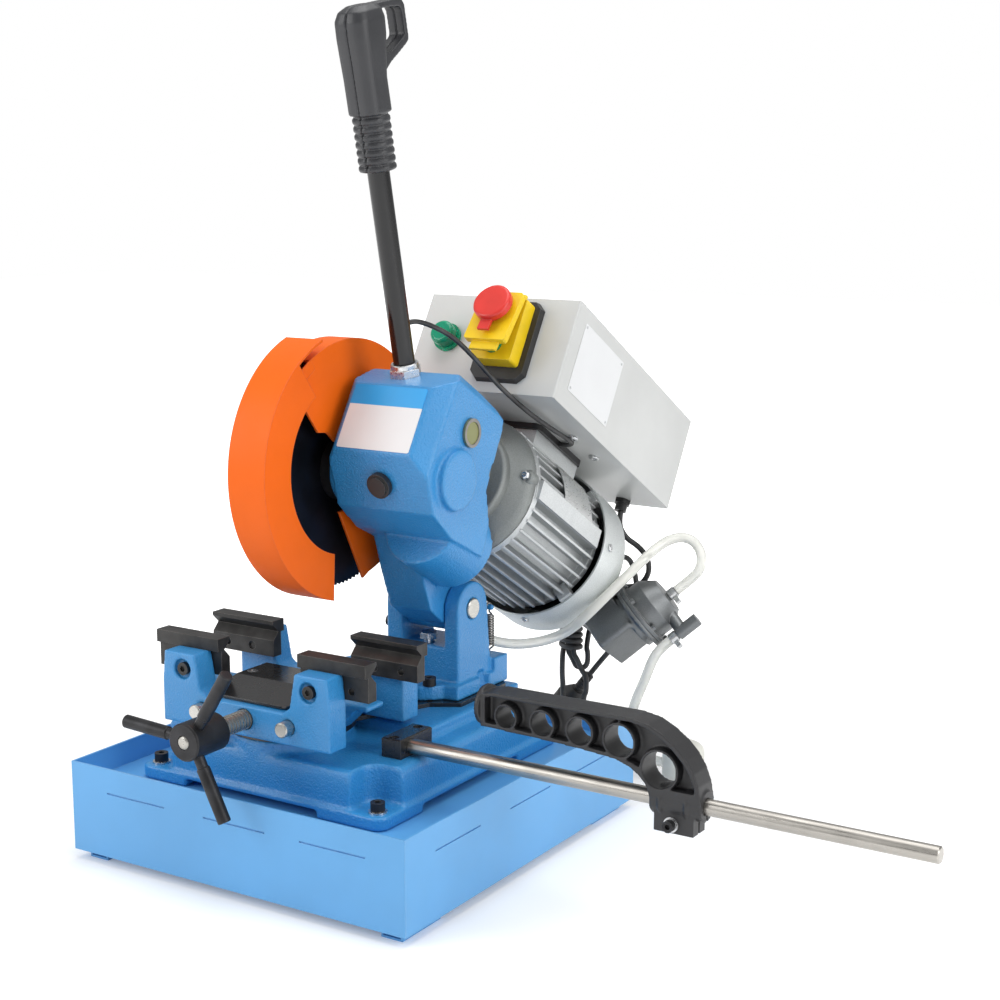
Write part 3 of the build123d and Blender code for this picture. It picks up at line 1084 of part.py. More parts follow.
def grip_half(keep):
    with BuildSketch(LEVER_SIDE) as collar:
        with BuildLine():
            Polyline((0, GRIP_BOTTOM), (15, GRIP_BOTTOM), (15, GRIP_BASE + 3), (0, GRIP_BASE + 3), close=True)
        make_face()
    revolve(collar.sketch, axis=Axis(LEVER.origin, LEVER.z_dir))
    for k in range(7):
        low = GRIP_BOTTOM + 0.5 + 7.0 * k
        ring(LEVER.offset(low), 17, 12, 4.5)
    bodies = []
    for up, half, front_y, back_y, corner_r in GRIP_SECTIONS:
        with BuildSketch(shifted(LEVER.offset(GRIP_BASE + up), 0, (front_y + back_y) / 2)) as section:
            RectangleRounded(2 * half, back_y - front_y, corner_r)
        bodies.append(section.sketch.face())
    loft(bodies, ruled=True)
    prism(LEVER_SIDE.offset(-LOOP_HALF), [(y, GRIP_BASE + z) for y, z in LOOP_OUTLINE], 2 * LOOP_HALF)
    prism(LEVER_SIDE.offset(-20), [(y, GRIP_BASE + z) for y, z in LOOP_HOLE], 40, Mode.SUBTRACT)
    rod(LEVER.offset(GRIP_BOTTOM - 1), LEVER_R, COLLAR_LEN + 31, Mode.SUBTRACT)
    prism(LEVER_SIDE.offset(-4.5), [(4, GRIP_BASE + 49), (27, GRIP_BASE + 49), (27, GRIP_BASE + 79),
                                    (4, GRIP_BASE + 79)],
          9, Mode.SUBTRACT)
    split(bisect_by=LEVER_SIDE, keep=keep)


with BuildPart() as grip_left:
    grip_half(Keep.BOTTOM)
save(grip_left, "grip_left")

with BuildPart() as grip_right:
    grip_half(Keep.TOP)
save(grip_right, "grip_right")

with BuildPart() as trigger:
    prism(LEVER_SIDE.offset(-4.5 + FACE),
          [(10.5, GRIP_BASE + 50), (29, GRIP_BASE + 57), (27.5, GRIP_BASE + 71), (21, GRIP_BASE + 78),
                                           (10.5, GRIP_BASE + 78)], 9 - 2 * FACE)
save(trigger, "trigger")

# Coolant pump behind the fan cover, driven by the eccentric
lean = radians(PUMP_LEAN)
PUMP_T = HEAD.x_dir * cos(lean) + HEAD.z_dir * -sin(lean)
PUMP_N = HEAD.x_dir * sin(lean) + HEAD.z_dir * cos(lean)
PUMP = Plane(origin=head_point(PUMP_X, PUMP_Y, PUMP_Z), x_dir=PUMP_T, z_dir=PUMP_N)


def pump_point(t, y, n):
    return PUMP.from_local_coords(Vector(t, y, n))


with BuildPart() as pump_body:
    with BuildSketch(shifted(PUMP, -9.5, 0)):
        RectangleRounded(53, 60, 6)
    extrude(amount=40)
    with BuildSketch(shifted(PUMP.offset(-8), -72, 2.5)):
        RectangleRounded(80, 49, 6)
    extrude(amount=51)
    rod(motor_at(COVER_BACK), 22, 22)
    rod(PUMP.offset(38), 30, 9)
    rod(PUMP.offset(46), 38.5, 5)
    rod(shifted(PUMP, -9.5, 0), 15, 20, Mode.SUBTRACT)
    rod(motor_at(COVER_BACK - 1), 12, 30, Mode.SUBTRACT)
    rod(motor_at(COVER_BACK + 26), 17, 35, Mode.SUBTRACT)
save(pump_body, "pump_body")

with BuildPart() as pump_cap:
    with BuildSketch(Plane(origin=PUMP.origin, x_dir=PUMP_T, z_dir=HEAD.y_dir * -1)):
        with BuildLine():
            Polyline((0, 51), (38.5, 51), (38.5, 55), (31, 55), (31, 71), (20, 86), (0, 86), close=True)
        make_face()
    revolve(axis=Axis(PUMP.origin, PUMP_N))
    for k in range(6):
        turn = 2 * pi * (k + 0.5) / 6
        hexagon(shifted(PUMP.offset(55), 35 * cos(turn), 35 * sin(turn)), 6, 3.5)
    rod(shifted(PUMP.offset(84), 2.6, 0), 5, 13)
    along = Plane(origin=pump_point(10, 0, 77), x_dir=HEAD.y_dir, z_dir=PUMP_T)
    rod(along, 6.5, 36)
    rod(shifted(PUMP.offset(72), 45, 0), 7, 26)
    rod(shifted(PUMP.offset(62), 45, 0), 5, 12)
save(pump_cap, "pump_cap")

with BuildPart() as hose_clamps:
    for base in (shifted(PUMP.offset(88), 2.6, 0), shifted(PUMP.offset(62.3), 45, 0)):
        ring(base, 6.4, 5, 8)
        slab(shifted(base.offset(1.5), 9.5, 0), 7, 6, 5)
save(hose_clamps, "hose_clamps")

# Cords and hoses: straight runs joined by tangent arcs, as large as the runs allow


def run_radii(points):
    radii = []
    for a, b, c in zip(points, points[1:], points[2:]):
        u = Vector(*b) - Vector(*a)
        v = Vector(*c) - Vector(*b)
        turn = u.get_angle(v)
        radii.append(0.45 * min(u.length, v.length) / tan(radians(turn) / 2))
    return radii


def tube(points, radius, name):
    """Round tube along the points, starting square to the first run."""
    radii = run_radii(points)
    with BuildLine() as path:
        FilletPolyline(*points, radius=radii)
    way = Vector(*points[1]) - Vector(*points[0])
    with BuildSketch(Plane(origin=points[0], z_dir=way)) as section:
        Circle(radius)
    sweep(section.sketch, path=path.line)
    print(name, "length", round(path.wire().length, 1), "least radius in diameters",
          round(min(radii) / (2 * radius), 2), "radii", [round(r, 1) for r in radii])
    return path.wire().length


def hp(x, y, z):
    """Head-frame point as world coordinates."""
    return tuple(head_point(x, y, z))


delivery_points = [tuple(pump_point(2.6, 0, 97)), tuple(pump_point(2.6, 0, 113)), hp(197, 222, 135),
                   hp(198, 216, 152), hp(184, 209, 166), hp(165, 203, 162), hp(152, 193, 142),
                   hp(147, 172, 112), hp(138, 152, 78), hp(122, 144, 46), (104, 219, 169), (87, 216, 159),
                   (71, 205, 154), (55, 188, 153.5), (38, 171, 159), (19, 156, 170), (2, 144, 188),
                   (-9, 132, 212), (-12, 112, 238), hp(-6, -8, 37), hp(1, -26, 31), hp(4, -37, 30),
                   hp(4, -49, 30)]
with BuildPart() as delivery_hose:
    hose_length = tube(delivery_points, HOSE_R, "delivery hose")
save(delivery_hose, "delivery_hose")
print("delivery hose volume over section times length",
      round(delivery_hose.part.volume / (pi * HOSE_R ** 2 * hose_length), 4))

STRAINER_X = 202.0
STRAINER_Y = 290.0
STRAINER_R = 22.0
suction_points = [tuple(pump_point(45, 0, 62)), tuple(pump_point(45, 0, 47.4)), (165.4, 285.9, 129.7),
                  (156.5, 286.6, 106), (146, 288.3, 84), (139, 289.5, 62), (138, 290, 41.7),
                  (146.3, 290, 27.3), (160.7, 290, 19), (STRAINER_X - STRAINER_R, STRAINER_Y, 19)]
with BuildPart() as suction_hose:
    hose_length = tube(suction_points, HOSE_R, "suction hose")
save(suction_hose, "suction_hose")
print("suction hose volume over section times length",
      round(suction_hose.part.volume / (pi * HOSE_R ** 2 * hose_length), 4))

with BuildPart() as strainer:
    cup = shifted(Plane.XY.offset(1.0), STRAINER_X, STRAINER_Y)
    rod(cup, STRAINER_R, 44)
    fillet(strainer.edges().filter_by(GeomType.CIRCLE).sort_by(Axis.Z)[-1], 10)
save(strainer, "strainer")

cable_points = [tuple(LEVER.from_local_coords(Vector(0, LEVER_R, 46))),
                tuple(LEVER.from_local_coords(Vector(0, LEVER_R + 12, 46))), hp(57, -173, 218),
                hp(66, -146, 220), hp(76, -117, 213), hp(90, -92, 200), hp(103, -64, 191.5),
                hp(111, -36, 188.5), hp(115, -8, 189.5), hp(116, 19.5, 192.3), hp(115.4, 33.9, 193.8),
                hp(111.5, 40.5, 194.3), hp(104.9, 44.4, 194.3), hp(MOTOR_X + 40, 44.4, 194.3)]
with BuildPart() as lever_cable:
    tube(cable_points, CABLE_R, "lever cable")
save(lever_cable, "lever_cable")

# Mains lead: gland under the box, loop behind the fan cover, hank, tail with the plug
with BuildPart() as cable_gland:
    gland_plane = Plane(origin=head_point(GLAND[0], GLAND[1], BOX_Z0), x_dir=HEAD.x_dir, z_dir=HEAD.z_dir * -1)
    rod(gland_plane.offset(-8), 6, 8)
    hexagon(gland_plane, 16, 5)
    rod(gland_plane.offset(5), 6.5, 8)
    rod(gland_plane.offset(-9), LEAD_R, 30, Mode.SUBTRACT)
save_group([terminal_pad, cable_gland], "box_fittings")

hank_start = helix_point(HANK_X, HANK_Y, HANK_R, HANK_TOP, -HANK_PITCH, 0.25, 0)[0]
hank_in = Vector(-8, -0.4, -1.1).normalized()
lead_end = Vector(*hank_start) - hank_in * 8
lead_before = Vector(*hank_start) - hank_in * 20
lead_points = [hp(GLAND[0], GLAND[1], BOX_Z0 + 8), hp(GLAND[0], GLAND[1], BOX_Z0 - 24.3), hp(104, 214, 159),
               hp(119, 222, 153.5), hp(131, 227, 143), hp(135, 231, 128), hp(127, 235.5, 115.5),
               hp(112, 241, 112.5), hp(97, 251, 115), hp(83, 264, 112.5), hp(71, 275, 101),
               (59, 360, 150.5), tuple(lead_before), tuple(lead_end)]
with BuildPart() as mains_lead:
    tube(lead_points, LEAD_R, "mains lead")
save(mains_lead, "mains_lead")

# Hank: four turns round the folded lead, one long loop below and one short one
WRAPS = 4.25
HANK_GAP = 3.45
with BuildPart() as mains_hank:
    turns = [helix_point(HANK_X, HANK_Y, HANK_R, HANK_TOP, -HANK_PITCH, 0.25,
                         k / 4) for k in range(int(4 * WRAPS) + 1)]
    right = HANK_X + HANK_GAP
    left = HANK_X - HANK_GAP
    knots = [
        ((22.5, 344.0, 89.0), (0, 0, -1)),
        ((23.5, 344.0, 59.0), (0, 0, -1)),
        ((36.0, 345.0, 35.0), (1, 0, 0)),
        ((49.0, 346.0, 51.0), (0.1, 0, 1)),
        ((52.0, 347.0, 69.0), (0, 0, 1)),
        ((41.0, 349.0, 93.0), (-0.5, 0, 1)),
        ((right, HANK_Y, 109.0), (0, 0, 1)),
        ((right, HANK_Y, 141.0), (0, 0, 1)),
        ((HANK_X, HANK_Y, 151.0), (-1, 0, 0)),
        ((left, HANK_Y, 141.0), (0, 0, -1)),
        ((left, HANK_Y, 111.0), (0, 0, -1)),
        ((30.0, 354.5, 95.0), (0.5, 0.15, -1)),
        ((38.0, 357.5, 86.0), (1, 0, 0)),
        ((46.0, 360.5, 97.0), (-0.05, 0.1, 1)),
        ((43.0, 364.5, 115.0), (0.5, 3.5, 16)),
    ]
    with BuildLine() as hank_path:
        Line(lead_end, hank_start)
        for k in range(len(turns) - 1):
            here = turns[k]
            there = turns[k + 1]
            way0 = here[1] if k else tuple(hank_in)
            biarc(here[0], way0, there[0], there[1])
        biarc(*turns[-1], *knots[0])
        for k in range(len(knots) - 1):
            biarc(*knots[k], *knots[k + 1])
    with BuildSketch(Plane(origin=lead_end, z_dir=hank_in)):
        Circle(LEAD_R)
    sweep(path=hank_path.line)
hank_wire = hank_path.wire()
samples = [hank_wire.position_at(k / 900) for k in range(901)]
step = hank_wire.length / 900
clear = min((samples[i] - samples[j]).length for i in range(901) for j in range(i + int(14 / step), 901))
print("hank length", round(hank_wire.length, 1), "least gap to itself", round(clear - 2 * LEAD_R, 2))
save(mains_hank, "mains_hank")

tail_start = knots[-1][0]
RELIEF_TOP = (46.0, 365.0, 77.0)
RELIEF_LEN = 25.0
tail_points = [tail_start, (43.5, 368, 131), (45, 375, 152), (50, 384, 177), (57.5, 389.5, 198),
               (69, 391, 211), (83, 386.5, 212), (94.5, 378, 201), (102, 370, 184), (103.5, 366, 165),
               (97, 364, 143), (82, 364, 120), (64, 364.5, 100), RELIEF_TOP]
with BuildPart() as plug_lead:
    tube(tail_points, LEAD_R, "plug lead")
save(plug_lead, "plug_lead")

with BuildPart() as mains_plug:
    relief_way = Vector(*RELIEF_TOP) - Vector(*tail_points[-2])
    relief = Plane(origin=RELIEF_TOP, x_dir=(0, 1, 0), z_dir=relief_way)
    rod(relief, 4.2, RELIEF_LEN + 4)
    for k in range(5):
        rod(relief.offset(1 + 4.6 * k), 5.6, 2.4)
    with BuildSketch(relief.offset(RELIEF_LEN)):
        Circle(8)
    with BuildSketch(relief.offset(RELIEF_LEN + 14)):
        Circle(17.5)
    loft()
    rod(relief.offset(RELIEF_LEN + 14), 17.5, 12)
    for s in (-1, 1):
        rod(shifted(relief.offset(RELIEF_LEN + 26), s * 9.5, 0), 2.4, 15)
save(mains_plug, "mains_plug")
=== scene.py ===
import json
from math import atan2, cos, degrees, pi, radians, sin

import bpy
from mathutils import Matrix, Vector

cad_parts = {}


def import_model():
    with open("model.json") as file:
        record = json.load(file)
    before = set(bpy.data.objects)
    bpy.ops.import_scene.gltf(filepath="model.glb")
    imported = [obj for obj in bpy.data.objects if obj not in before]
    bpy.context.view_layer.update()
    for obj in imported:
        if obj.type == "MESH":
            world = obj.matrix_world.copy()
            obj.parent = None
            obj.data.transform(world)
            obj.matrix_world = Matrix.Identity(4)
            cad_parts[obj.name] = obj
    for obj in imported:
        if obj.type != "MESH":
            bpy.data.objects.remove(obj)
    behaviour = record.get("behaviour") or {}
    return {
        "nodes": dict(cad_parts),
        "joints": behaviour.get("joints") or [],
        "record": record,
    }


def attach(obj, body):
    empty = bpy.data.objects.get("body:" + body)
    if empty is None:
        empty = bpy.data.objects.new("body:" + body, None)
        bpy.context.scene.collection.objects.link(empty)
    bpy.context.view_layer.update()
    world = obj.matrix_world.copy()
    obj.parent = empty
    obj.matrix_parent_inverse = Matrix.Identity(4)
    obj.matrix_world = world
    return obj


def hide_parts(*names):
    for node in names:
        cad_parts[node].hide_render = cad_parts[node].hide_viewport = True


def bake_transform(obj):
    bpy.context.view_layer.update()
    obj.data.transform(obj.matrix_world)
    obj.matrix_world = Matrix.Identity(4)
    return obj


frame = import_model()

# Cold saw: finishes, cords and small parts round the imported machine. Metres, +Z up; +X is the
# operator's right and +Y is away from the operator. MM turns millimetres into metres.

MM = 0.001
nodes = frame["nodes"]
joints = {joint["name"]: joint for joint in frame["joints"]}
record = frame["record"]
body_of = {node: body for body, held in record["behaviour"]["bodies"].items() for node in held}
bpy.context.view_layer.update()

# The head's own frame: y back along the motor, z square to it, zero on the pivot pin
HEAD_TILT = radians(31)
PIVOT = Vector(joints["head_tilt"]["pos_m"])
HEAD_TURN = Matrix.Rotation(-HEAD_TILT, 3, "X")

# The coolant pump's frame within the head, and the hand lever's
PUMP_BASE = (108.3, 225.0, 40.3)
PUMP_LEAN = radians(41.7)
LEVER_SEAT = (52.0, -177.7, 163.5)
LEVER_LEAN = radians(12)
LEVER_TURN = Matrix.Rotation(LEVER_LEAN, 3, "X")


def world(x, y, z):
    """A point in the machine's frame, given in millimetres."""
    return Vector((x, y, z)) * MM


def head(x, y, z):
    """A point in the head's frame, given in millimetres."""
    return Vector((0, PIVOT.y, PIVOT.z)) + HEAD_TURN @ (Vector((x, y, z)) * MM)


def pump(t, y, n):
    """A point in the pump's frame: t along its flange, n out of it."""
    x = PUMP_BASE[0] + t * cos(PUMP_LEAN) + n * sin(PUMP_LEAN)
    z = PUMP_BASE[2] - t * sin(PUMP_LEAN) + n * cos(PUMP_LEAN)
    return head(x, PUMP_BASE[1] + y, z)


def lever(x, y, z):
    """A point in the hand lever's frame: z along the tube, y towards the back."""
    return head(*LEVER_SEAT) + LEVER_TURN @ (Vector((x, y, z)) * MM)


# Shader tools


def start_material(name, roughness, metallic=0.0):
    material = bpy.data.materials.new(name)
    material.use_nodes = True
    tree = material.node_tree
    shader = tree.nodes["Principled BSDF"]
    shader.inputs["Roughness"].default_value = roughness
    shader.inputs["Metallic"].default_value = metallic
    return material, tree, shader


def object_place(tree, stretch=(1, 1, 1), turn=0.0):
    """The piece's own coordinates, stretched along its axes and turned with the head if asked."""
    place = tree.nodes.new("ShaderNodeTexCoord")
    mapping = tree.nodes.new("ShaderNodeMapping")
    mapping.inputs["Scale"].default_value = stretch
    mapping.inputs["Rotation"].default_value = (turn, 0, 0)
    tree.links.new(place.outputs["Object"], mapping.inputs["Vector"])
    return mapping.outputs["Vector"]


def noise(tree, scale, detail=3.0, place=None):
    texture = tree.nodes.new("ShaderNodeTexNoise")
    texture.inputs["Scale"].default_value = scale
    texture.inputs["Detail"].default_value = detail
    tree.links.new(place or object_place(tree), texture.inputs["Vector"])
    return texture.outputs["Fac"]


def ramp(tree, source, low, high, start=0.0, end=1.0):
    """A number from low to high as the source goes from start to end."""
    fit = tree.nodes.new("ShaderNodeMapRange")
    fit.inputs["From Min"].default_value = start
    fit.inputs["From Max"].default_value = end
    fit.inputs["To Min"].default_value = low
    fit.inputs["To Max"].default_value = high
    tree.links.new(source, fit.inputs["Value"])
    return fit.outputs["Result"]


def blend_colour(tree, share, first, second):
    mix = tree.nodes.new("ShaderNodeMix")
    mix.data_type = "RGBA"
    tree.links.new(share, mix.inputs["Factor"])
    for socket, value in ((mix.inputs[6], first), (mix.inputs[7], second)):
        if isinstance(value, tuple):
            socket.default_value = (*value, 1)
        else:
            tree.links.new(value, socket)
    return mix.outputs[2]


def bump(tree, height, depth, strength=1.0, under=None):
    node = tree.nodes.new("ShaderNodeBump")
    node.inputs["Strength"].default_value = strength
    node.inputs["Distance"].default_value = depth
    tree.links.new(height, node.inputs["Height"])
    if under is not None:
        tree.links.new(under, node.inputs["Normal"])
    return node.outputs["Normal"]


def round_edges(tree, radius):
    """Softened normals at sharp edges, and how near the surface is to one."""
    soft = tree.nodes.new("ShaderNodeBevel")
    soft.samples = 4
    soft.inputs["Radius"].default_value = radius
    place = tree.nodes.new("ShaderNodeNewGeometry")
    dot = tree.nodes.new("ShaderNodeVectorMath")
    dot.operation = "DOT_PRODUCT"
    tree.links.new(soft.outputs["Normal"], dot.inputs[0])
    tree.links.new(place.outputs["Normal"], dot.inputs[1])
    return soft.outputs["Normal"], ramp(tree, dot.outputs["Value"], 1.0, 0.0, 0.80, 0.985)


def shade(colour, factor):
    return tuple(channel * factor for channel in colour)


def lift(colour, share):
    return tuple(channel + (1 - channel) * share for channel in colour)


# Finishes


def paint(name, colour, grain, depth, roughness=0.36, edge=1.2 * MM, wear_and_highlight=0.22, gloss=0.25, shine=0.5):
    """Sprayed paint: orange peel or casting grain, cloudy colour, paler along the edges as chipped wear and
    a painted highlight.
    """
    material, tree, shader = start_material(name, roughness)
    clouds = ramp(tree, noise(tree, 9, 4), 0.0, 1.0, 0.35, 0.65)
    body = blend_colour(tree, clouds, shade(colour, 0.9), colour)
    soft, rim = round_edges(tree, edge)
    # Paler edge patches: partly chipped wear, partly a painted highlight on the edges
    patches = ramp(tree, noise(tree, 160, 3), 0.15, wear_and_highlight * 2.4, 0.4, 0.7)
    amount = tree.nodes.new("ShaderNodeMath")
    amount.operation = "MULTIPLY"
    tree.links.new(rim, amount.inputs[0])
    tree.links.new(patches, amount.inputs[1])
    tree.links.new(blend_colour(tree, amount.outputs[0], body, lift(colour, 0.35)),
                   shader.inputs["Base Color"])
    peel = bump(tree, noise(tree, grain, 3), depth, 1.0, soft)
    tree.links.new(peel, shader.inputs["Normal"])
    tree.links.new(ramp(tree, noise(tree, 45, 3), roughness - 0.07, roughness + 0.09),
                   shader.inputs["Roughness"])
    shader.inputs["Specular IOR Level"].default_value = shine
    shader.inputs["Coat Weight"].default_value = gloss
    shader.inputs["Coat Roughness"].default_value = 0.16
    return material


def turned_steel(name, colour, roughness, stretch, wear_and_highlight=(0.25, 0.24, 0.22)):
    """Bare steel with fine marks along one way and dull patches."""
    material, tree, shader = start_material(name, roughness, 1.0)
    marks = noise(tree, 1.0, 4, object_place(tree, stretch))
    stains = ramp(tree, noise(tree, 40, 3), 0.0, 0.3, 0.5, 0.8)
    tree.links.new(blend_colour(tree, stains, colour, wear_and_highlight), shader.inputs["Base Color"])
    tree.links.new(ramp(tree, marks, roughness - 0.1, roughness + 0.14, 0.3, 0.7),
                   shader.inputs["Roughness"])
    soft, _ = round_edges(tree, 0.6 * MM)
    tree.links.new(bump(tree, marks, 0.02 * MM, 0.6, soft), shader.inputs["Normal"])
    return material


def black_oxide(name, colour=(0.030, 0.029, 0.028), edge_colour=(0.16, 0.15, 0.14)):
    """Blackened steel: brownish black, milled marks, paler on its edges as rubbed wear and a painted
    highlight.
    """
    material, tree, shader = start_material(name, 0.42, 0.55)
    mottle = ramp(tree, noise(tree, 55, 5), 0.0, 1.0, 0.35, 0.7)
    body = blend_colour(tree, mottle, shade(colour, 0.75), shade(colour, 1.7))
    soft, rim = round_edges(tree, 0.9 * MM)
    # Paler edges: partly rubbed wear, partly a painted highlight
    tree.links.new(blend_colour(tree, ramp(tree, rim, 0.0, 0.75), body, edge_colour),
                   shader.inputs["Base Color"])
    marks = noise(tree, 1.0, 3, object_place(tree, (60, 900, 900)))
    tree.links.new(ramp(tree, marks, 0.34, 0.56), shader.inputs["Roughness"])
    tree.links.new(bump(tree, marks, 0.05 * MM, 0.5, soft), shader.inputs["Normal"])
    return material


def moulded(name, colour, roughness=0.45, grain=1400, depth=0.06 * MM, edge=0.8 * MM, clouds=(0.88, 1.08)):
    """Moulded plastic with a fine spark-eroded grain."""
    material, tree, shader = start_material(name, roughness)
    tone = ramp(tree, noise(tree, 30, 3), 0.0, 1.0, 0.3, 0.7)
    body = blend_colour(tree, tone, shade(colour, clouds[0]), shade(colour, clouds[1]))
    soft, rim = round_edges(tree, edge)
    # Paler along the edges: painted highlight
    tree.links.new(blend_colour(tree, ramp(tree, rim, 0.0, 0.12), body, lift(colour, 0.5)),
                   shader.inputs["Base Color"])
    tree.links.new(bump(tree, noise(tree, grain, 2), depth, 0.7, soft), shader.inputs["Normal"])
    tree.links.new(ramp(tree, noise(tree, 120, 3), roughness - 0.06, roughness + 0.08),
                   shader.inputs["Roughness"])
    return material


def die_cast(name, colour, roughness=0.42, depth=0.14 * MM):
    """Bare or thinly painted cast metal, sparkling, and paler along the edges as a painted highlight."""
    material, tree, shader = start_material(name, roughness, 0.75)
    mottle = ramp(tree, noise(tree, 1100, 3), 0.0, 1.0, 0.3, 0.7)
    body = blend_colour(tree, mottle, shade(colour, 0.86), shade(colour, 1.1))
    soft, rim = round_edges(tree, 1.2 * MM)
    # Paler along the edges: painted highlight
    tree.links.new(blend_colour(tree, ramp(tree, rim, 0.0, 0.35), body, lift(colour, 0.45)),
                   shader.inputs["Base Color"])
    tree.links.new(bump(tree, noise(tree, 900, 3), depth, 0.8, soft), shader.inputs["Normal"])
    tree.links.new(ramp(tree, noise(tree, 90, 3), roughness - 0.1, roughness + 0.1),
                   shader.inputs["Roughness"])
    return material


def clear_plastic(name, colour, passing, roughness):
    """See-through plastic with a slight ripple."""
    material, tree, shader = start_material(name, roughness)
    tone = ramp(tree, noise(tree, 25, 3), 0.0, 1.0, 0.3, 0.7)
    tree.links.new(blend_colour(tree, tone, shade(colour, 0.93), colour), shader.inputs["Base Color"])
    tree.links.new(bump(tree, noise(tree, 140, 2), 0.12 * MM, 0.5), shader.inputs["Normal"])
    shader.inputs["Transmission Weight"].default_value = passing
    shader.inputs["IOR"].default_value = 1.42
    return material


def sawn_blade(name):
    """Dark tempered blade: ground rings about the spindle, faint blue bloom."""
    material, tree, shader = start_material(name, 0.34, 0.85)
    centre = Vector(joints["blade_spin"]["pos_m"])
    place = tree.nodes.new("ShaderNodeTexCoord")
    shift = tree.nodes.new("ShaderNodeVectorMath")
    shift.operation = "SUBTRACT"
    shift.inputs[1].default_value = centre
    tree.links.new(place.outputs["Object"], shift.inputs[0])
    far = tree.nodes.new("ShaderNodeVectorMath")
    far.operation = "LENGTH"
    tree.links.new(shift.outputs["Vector"], far.inputs[0])
    rings = tree.nodes.new("ShaderNodeTexNoise")
    rings.noise_dimensions = "1D"
    rings.inputs["Scale"].default_value = 1500
    tree.links.new(far.outputs["Value"], rings.inputs["W"])
    bloom = ramp(tree, noise(tree, 22, 4), 0.0, 1.0, 0.3, 0.7)
    tree.links.new(blend_colour(tree, bloom, (0.012, 0.012, 0.016), (0.030, 0.034, 0.050)),
                   shader.inputs["Base Color"])
    tree.links.new(ramp(tree, rings.outputs["Fac"], 0.26, 0.44), shader.inputs["Roughness"])
    tree.links.new(bump(tree, rings.outputs["Fac"], 0.02 * MM, 0.5), shader.inputs["Normal"])
    return material


def sheathed(name, colour, roughness):
    """Flexible cord sheath with a faint dusty bloom."""
    material, tree, shader = start_material(name, roughness)
    dust = ramp(tree, noise(tree, 60, 4), 0.0, 1.0, 0.4, 0.75)
    tree.links.new(blend_colour(tree, dust, colour, lift(colour, 0.05)), shader.inputs["Base Color"])
    tree.links.new(bump(tree, noise(tree, 900, 2), 0.05 * MM, 0.6), shader.inputs["Normal"])
    tree.links.new(ramp(tree, noise(tree, 100, 3), roughness - 0.06, roughness + 0.1),
                   shader.inputs["Roughness"])
    return material


BLUE = (0.033, 0.282, 0.64)
TRAY_BLUE = (0.120, 0.405, 0.78)
ORANGE = (0.93, 0.145, 0.004)
cast_blue = paint("cast_blue", BLUE, 520, 1.0 * MM, 0.32, 1.6 * MM)
sheet_blue = paint("sheet_blue", TRAY_BLUE, 900, 0.035 * MM, 0.38, 0.8 * MM)
guard_orange = paint("guard_orange", ORANGE, 260, 0.10 * MM, 0.48, 1.6 * MM, 0.06, 0.0, 0.22)
box_grey = paint("box_grey", (0.60, 0.61, 0.60), 1300, 0.05 * MM, 0.40, 0.9 * MM, 0.15)
black_enamel = paint("black_enamel", (0.009, 0.009, 0.010), 500, 0.10 * MM, 0.26, 0.8 * MM, 0.05)
tube_black = paint("tube_black", (0.006, 0.006, 0.007), 500, 0.05 * MM, 0.20, 0.8 * MM, 0.02, 0.0, 0.4)
motor_silver = die_cast("motor_silver", (0.56, 0.58, 0.585), 0.46)
cover_silver = die_cast("cover_silver", (0.66, 0.69, 0.69), 0.46)
bell_cast = die_cast("bell_cast", (0.26, 0.275, 0.27), 0.60, 0.32 * MM)
pump_metal = die_cast("pump_metal", (0.20, 0.21, 0.215), 0.42)
rod_steel = turned_steel("rod_steel", (0.40, 0.38, 0.35), 0.32, (30, 1400, 1400))
pin_steel = turned_steel("pin_steel", (0.50, 0.49, 0.46), 0.32, (900, 120, 900))
thread_steel = turned_steel("thread_steel", (0.40, 0.39, 0.36), 0.34, (300, 300, 300))
zinc = turned_steel("zinc", (0.58, 0.59, 0.60), 0.28, (300, 300, 300), (0.42, 0.42, 0.40))
spring_steel = turned_steel("spring_steel", (0.24, 0.23, 0.22), 0.38, (400, 400, 400))
bronze = turned_steel("bronze", (0.58, 0.36, 0.13), 0.34, (300, 300, 300))
jaw_black = black_oxide("jaw_black")
screw_black = black_oxide("screw_black", (0.022, 0.022, 0.024), (0.10, 0.10, 0.10))
handle_black = moulded("handle_black", (0.028, 0.029, 0.033), 0.40, 700, 0.10 * MM)
arm_black = moulded("arm_black", (0.022, 0.022, 0.024), 0.44, 900, 0.09 * MM)
part_black = moulded("part_black", (0.018, 0.018, 0.019), 0.42)
switch_yellow = moulded("switch_yellow", (0.90, 0.62, 0.012), 0.30)
stop_red = moulded("stop_red", (0.70, 0.035, 0.025), 0.30)
start_green = moulded("start_green", (0.012, 0.30, 0.11), 0.32)
plug_black = moulded("plug_black", (0.016, 0.016, 0.017), 0.5)
strainer_white = moulded("strainer_white", (0.72, 0.72, 0.66), 0.42)
lamp_green = clear_plastic("lamp_green", (0.02, 0.50, 0.28), 0.45, 0.10)
hose_clear = clear_plastic("hose_clear", (0.93, 0.93, 0.88), 0.45, 0.18)
glass_clear = clear_plastic("glass_clear", (0.30, 0.31, 0.10), 0.25, 0.04)
blade_dark = sawn_blade("blade_dark")
cord_black = sheathed("cord_black", (0.016, 0.016, 0.017), 0.46)

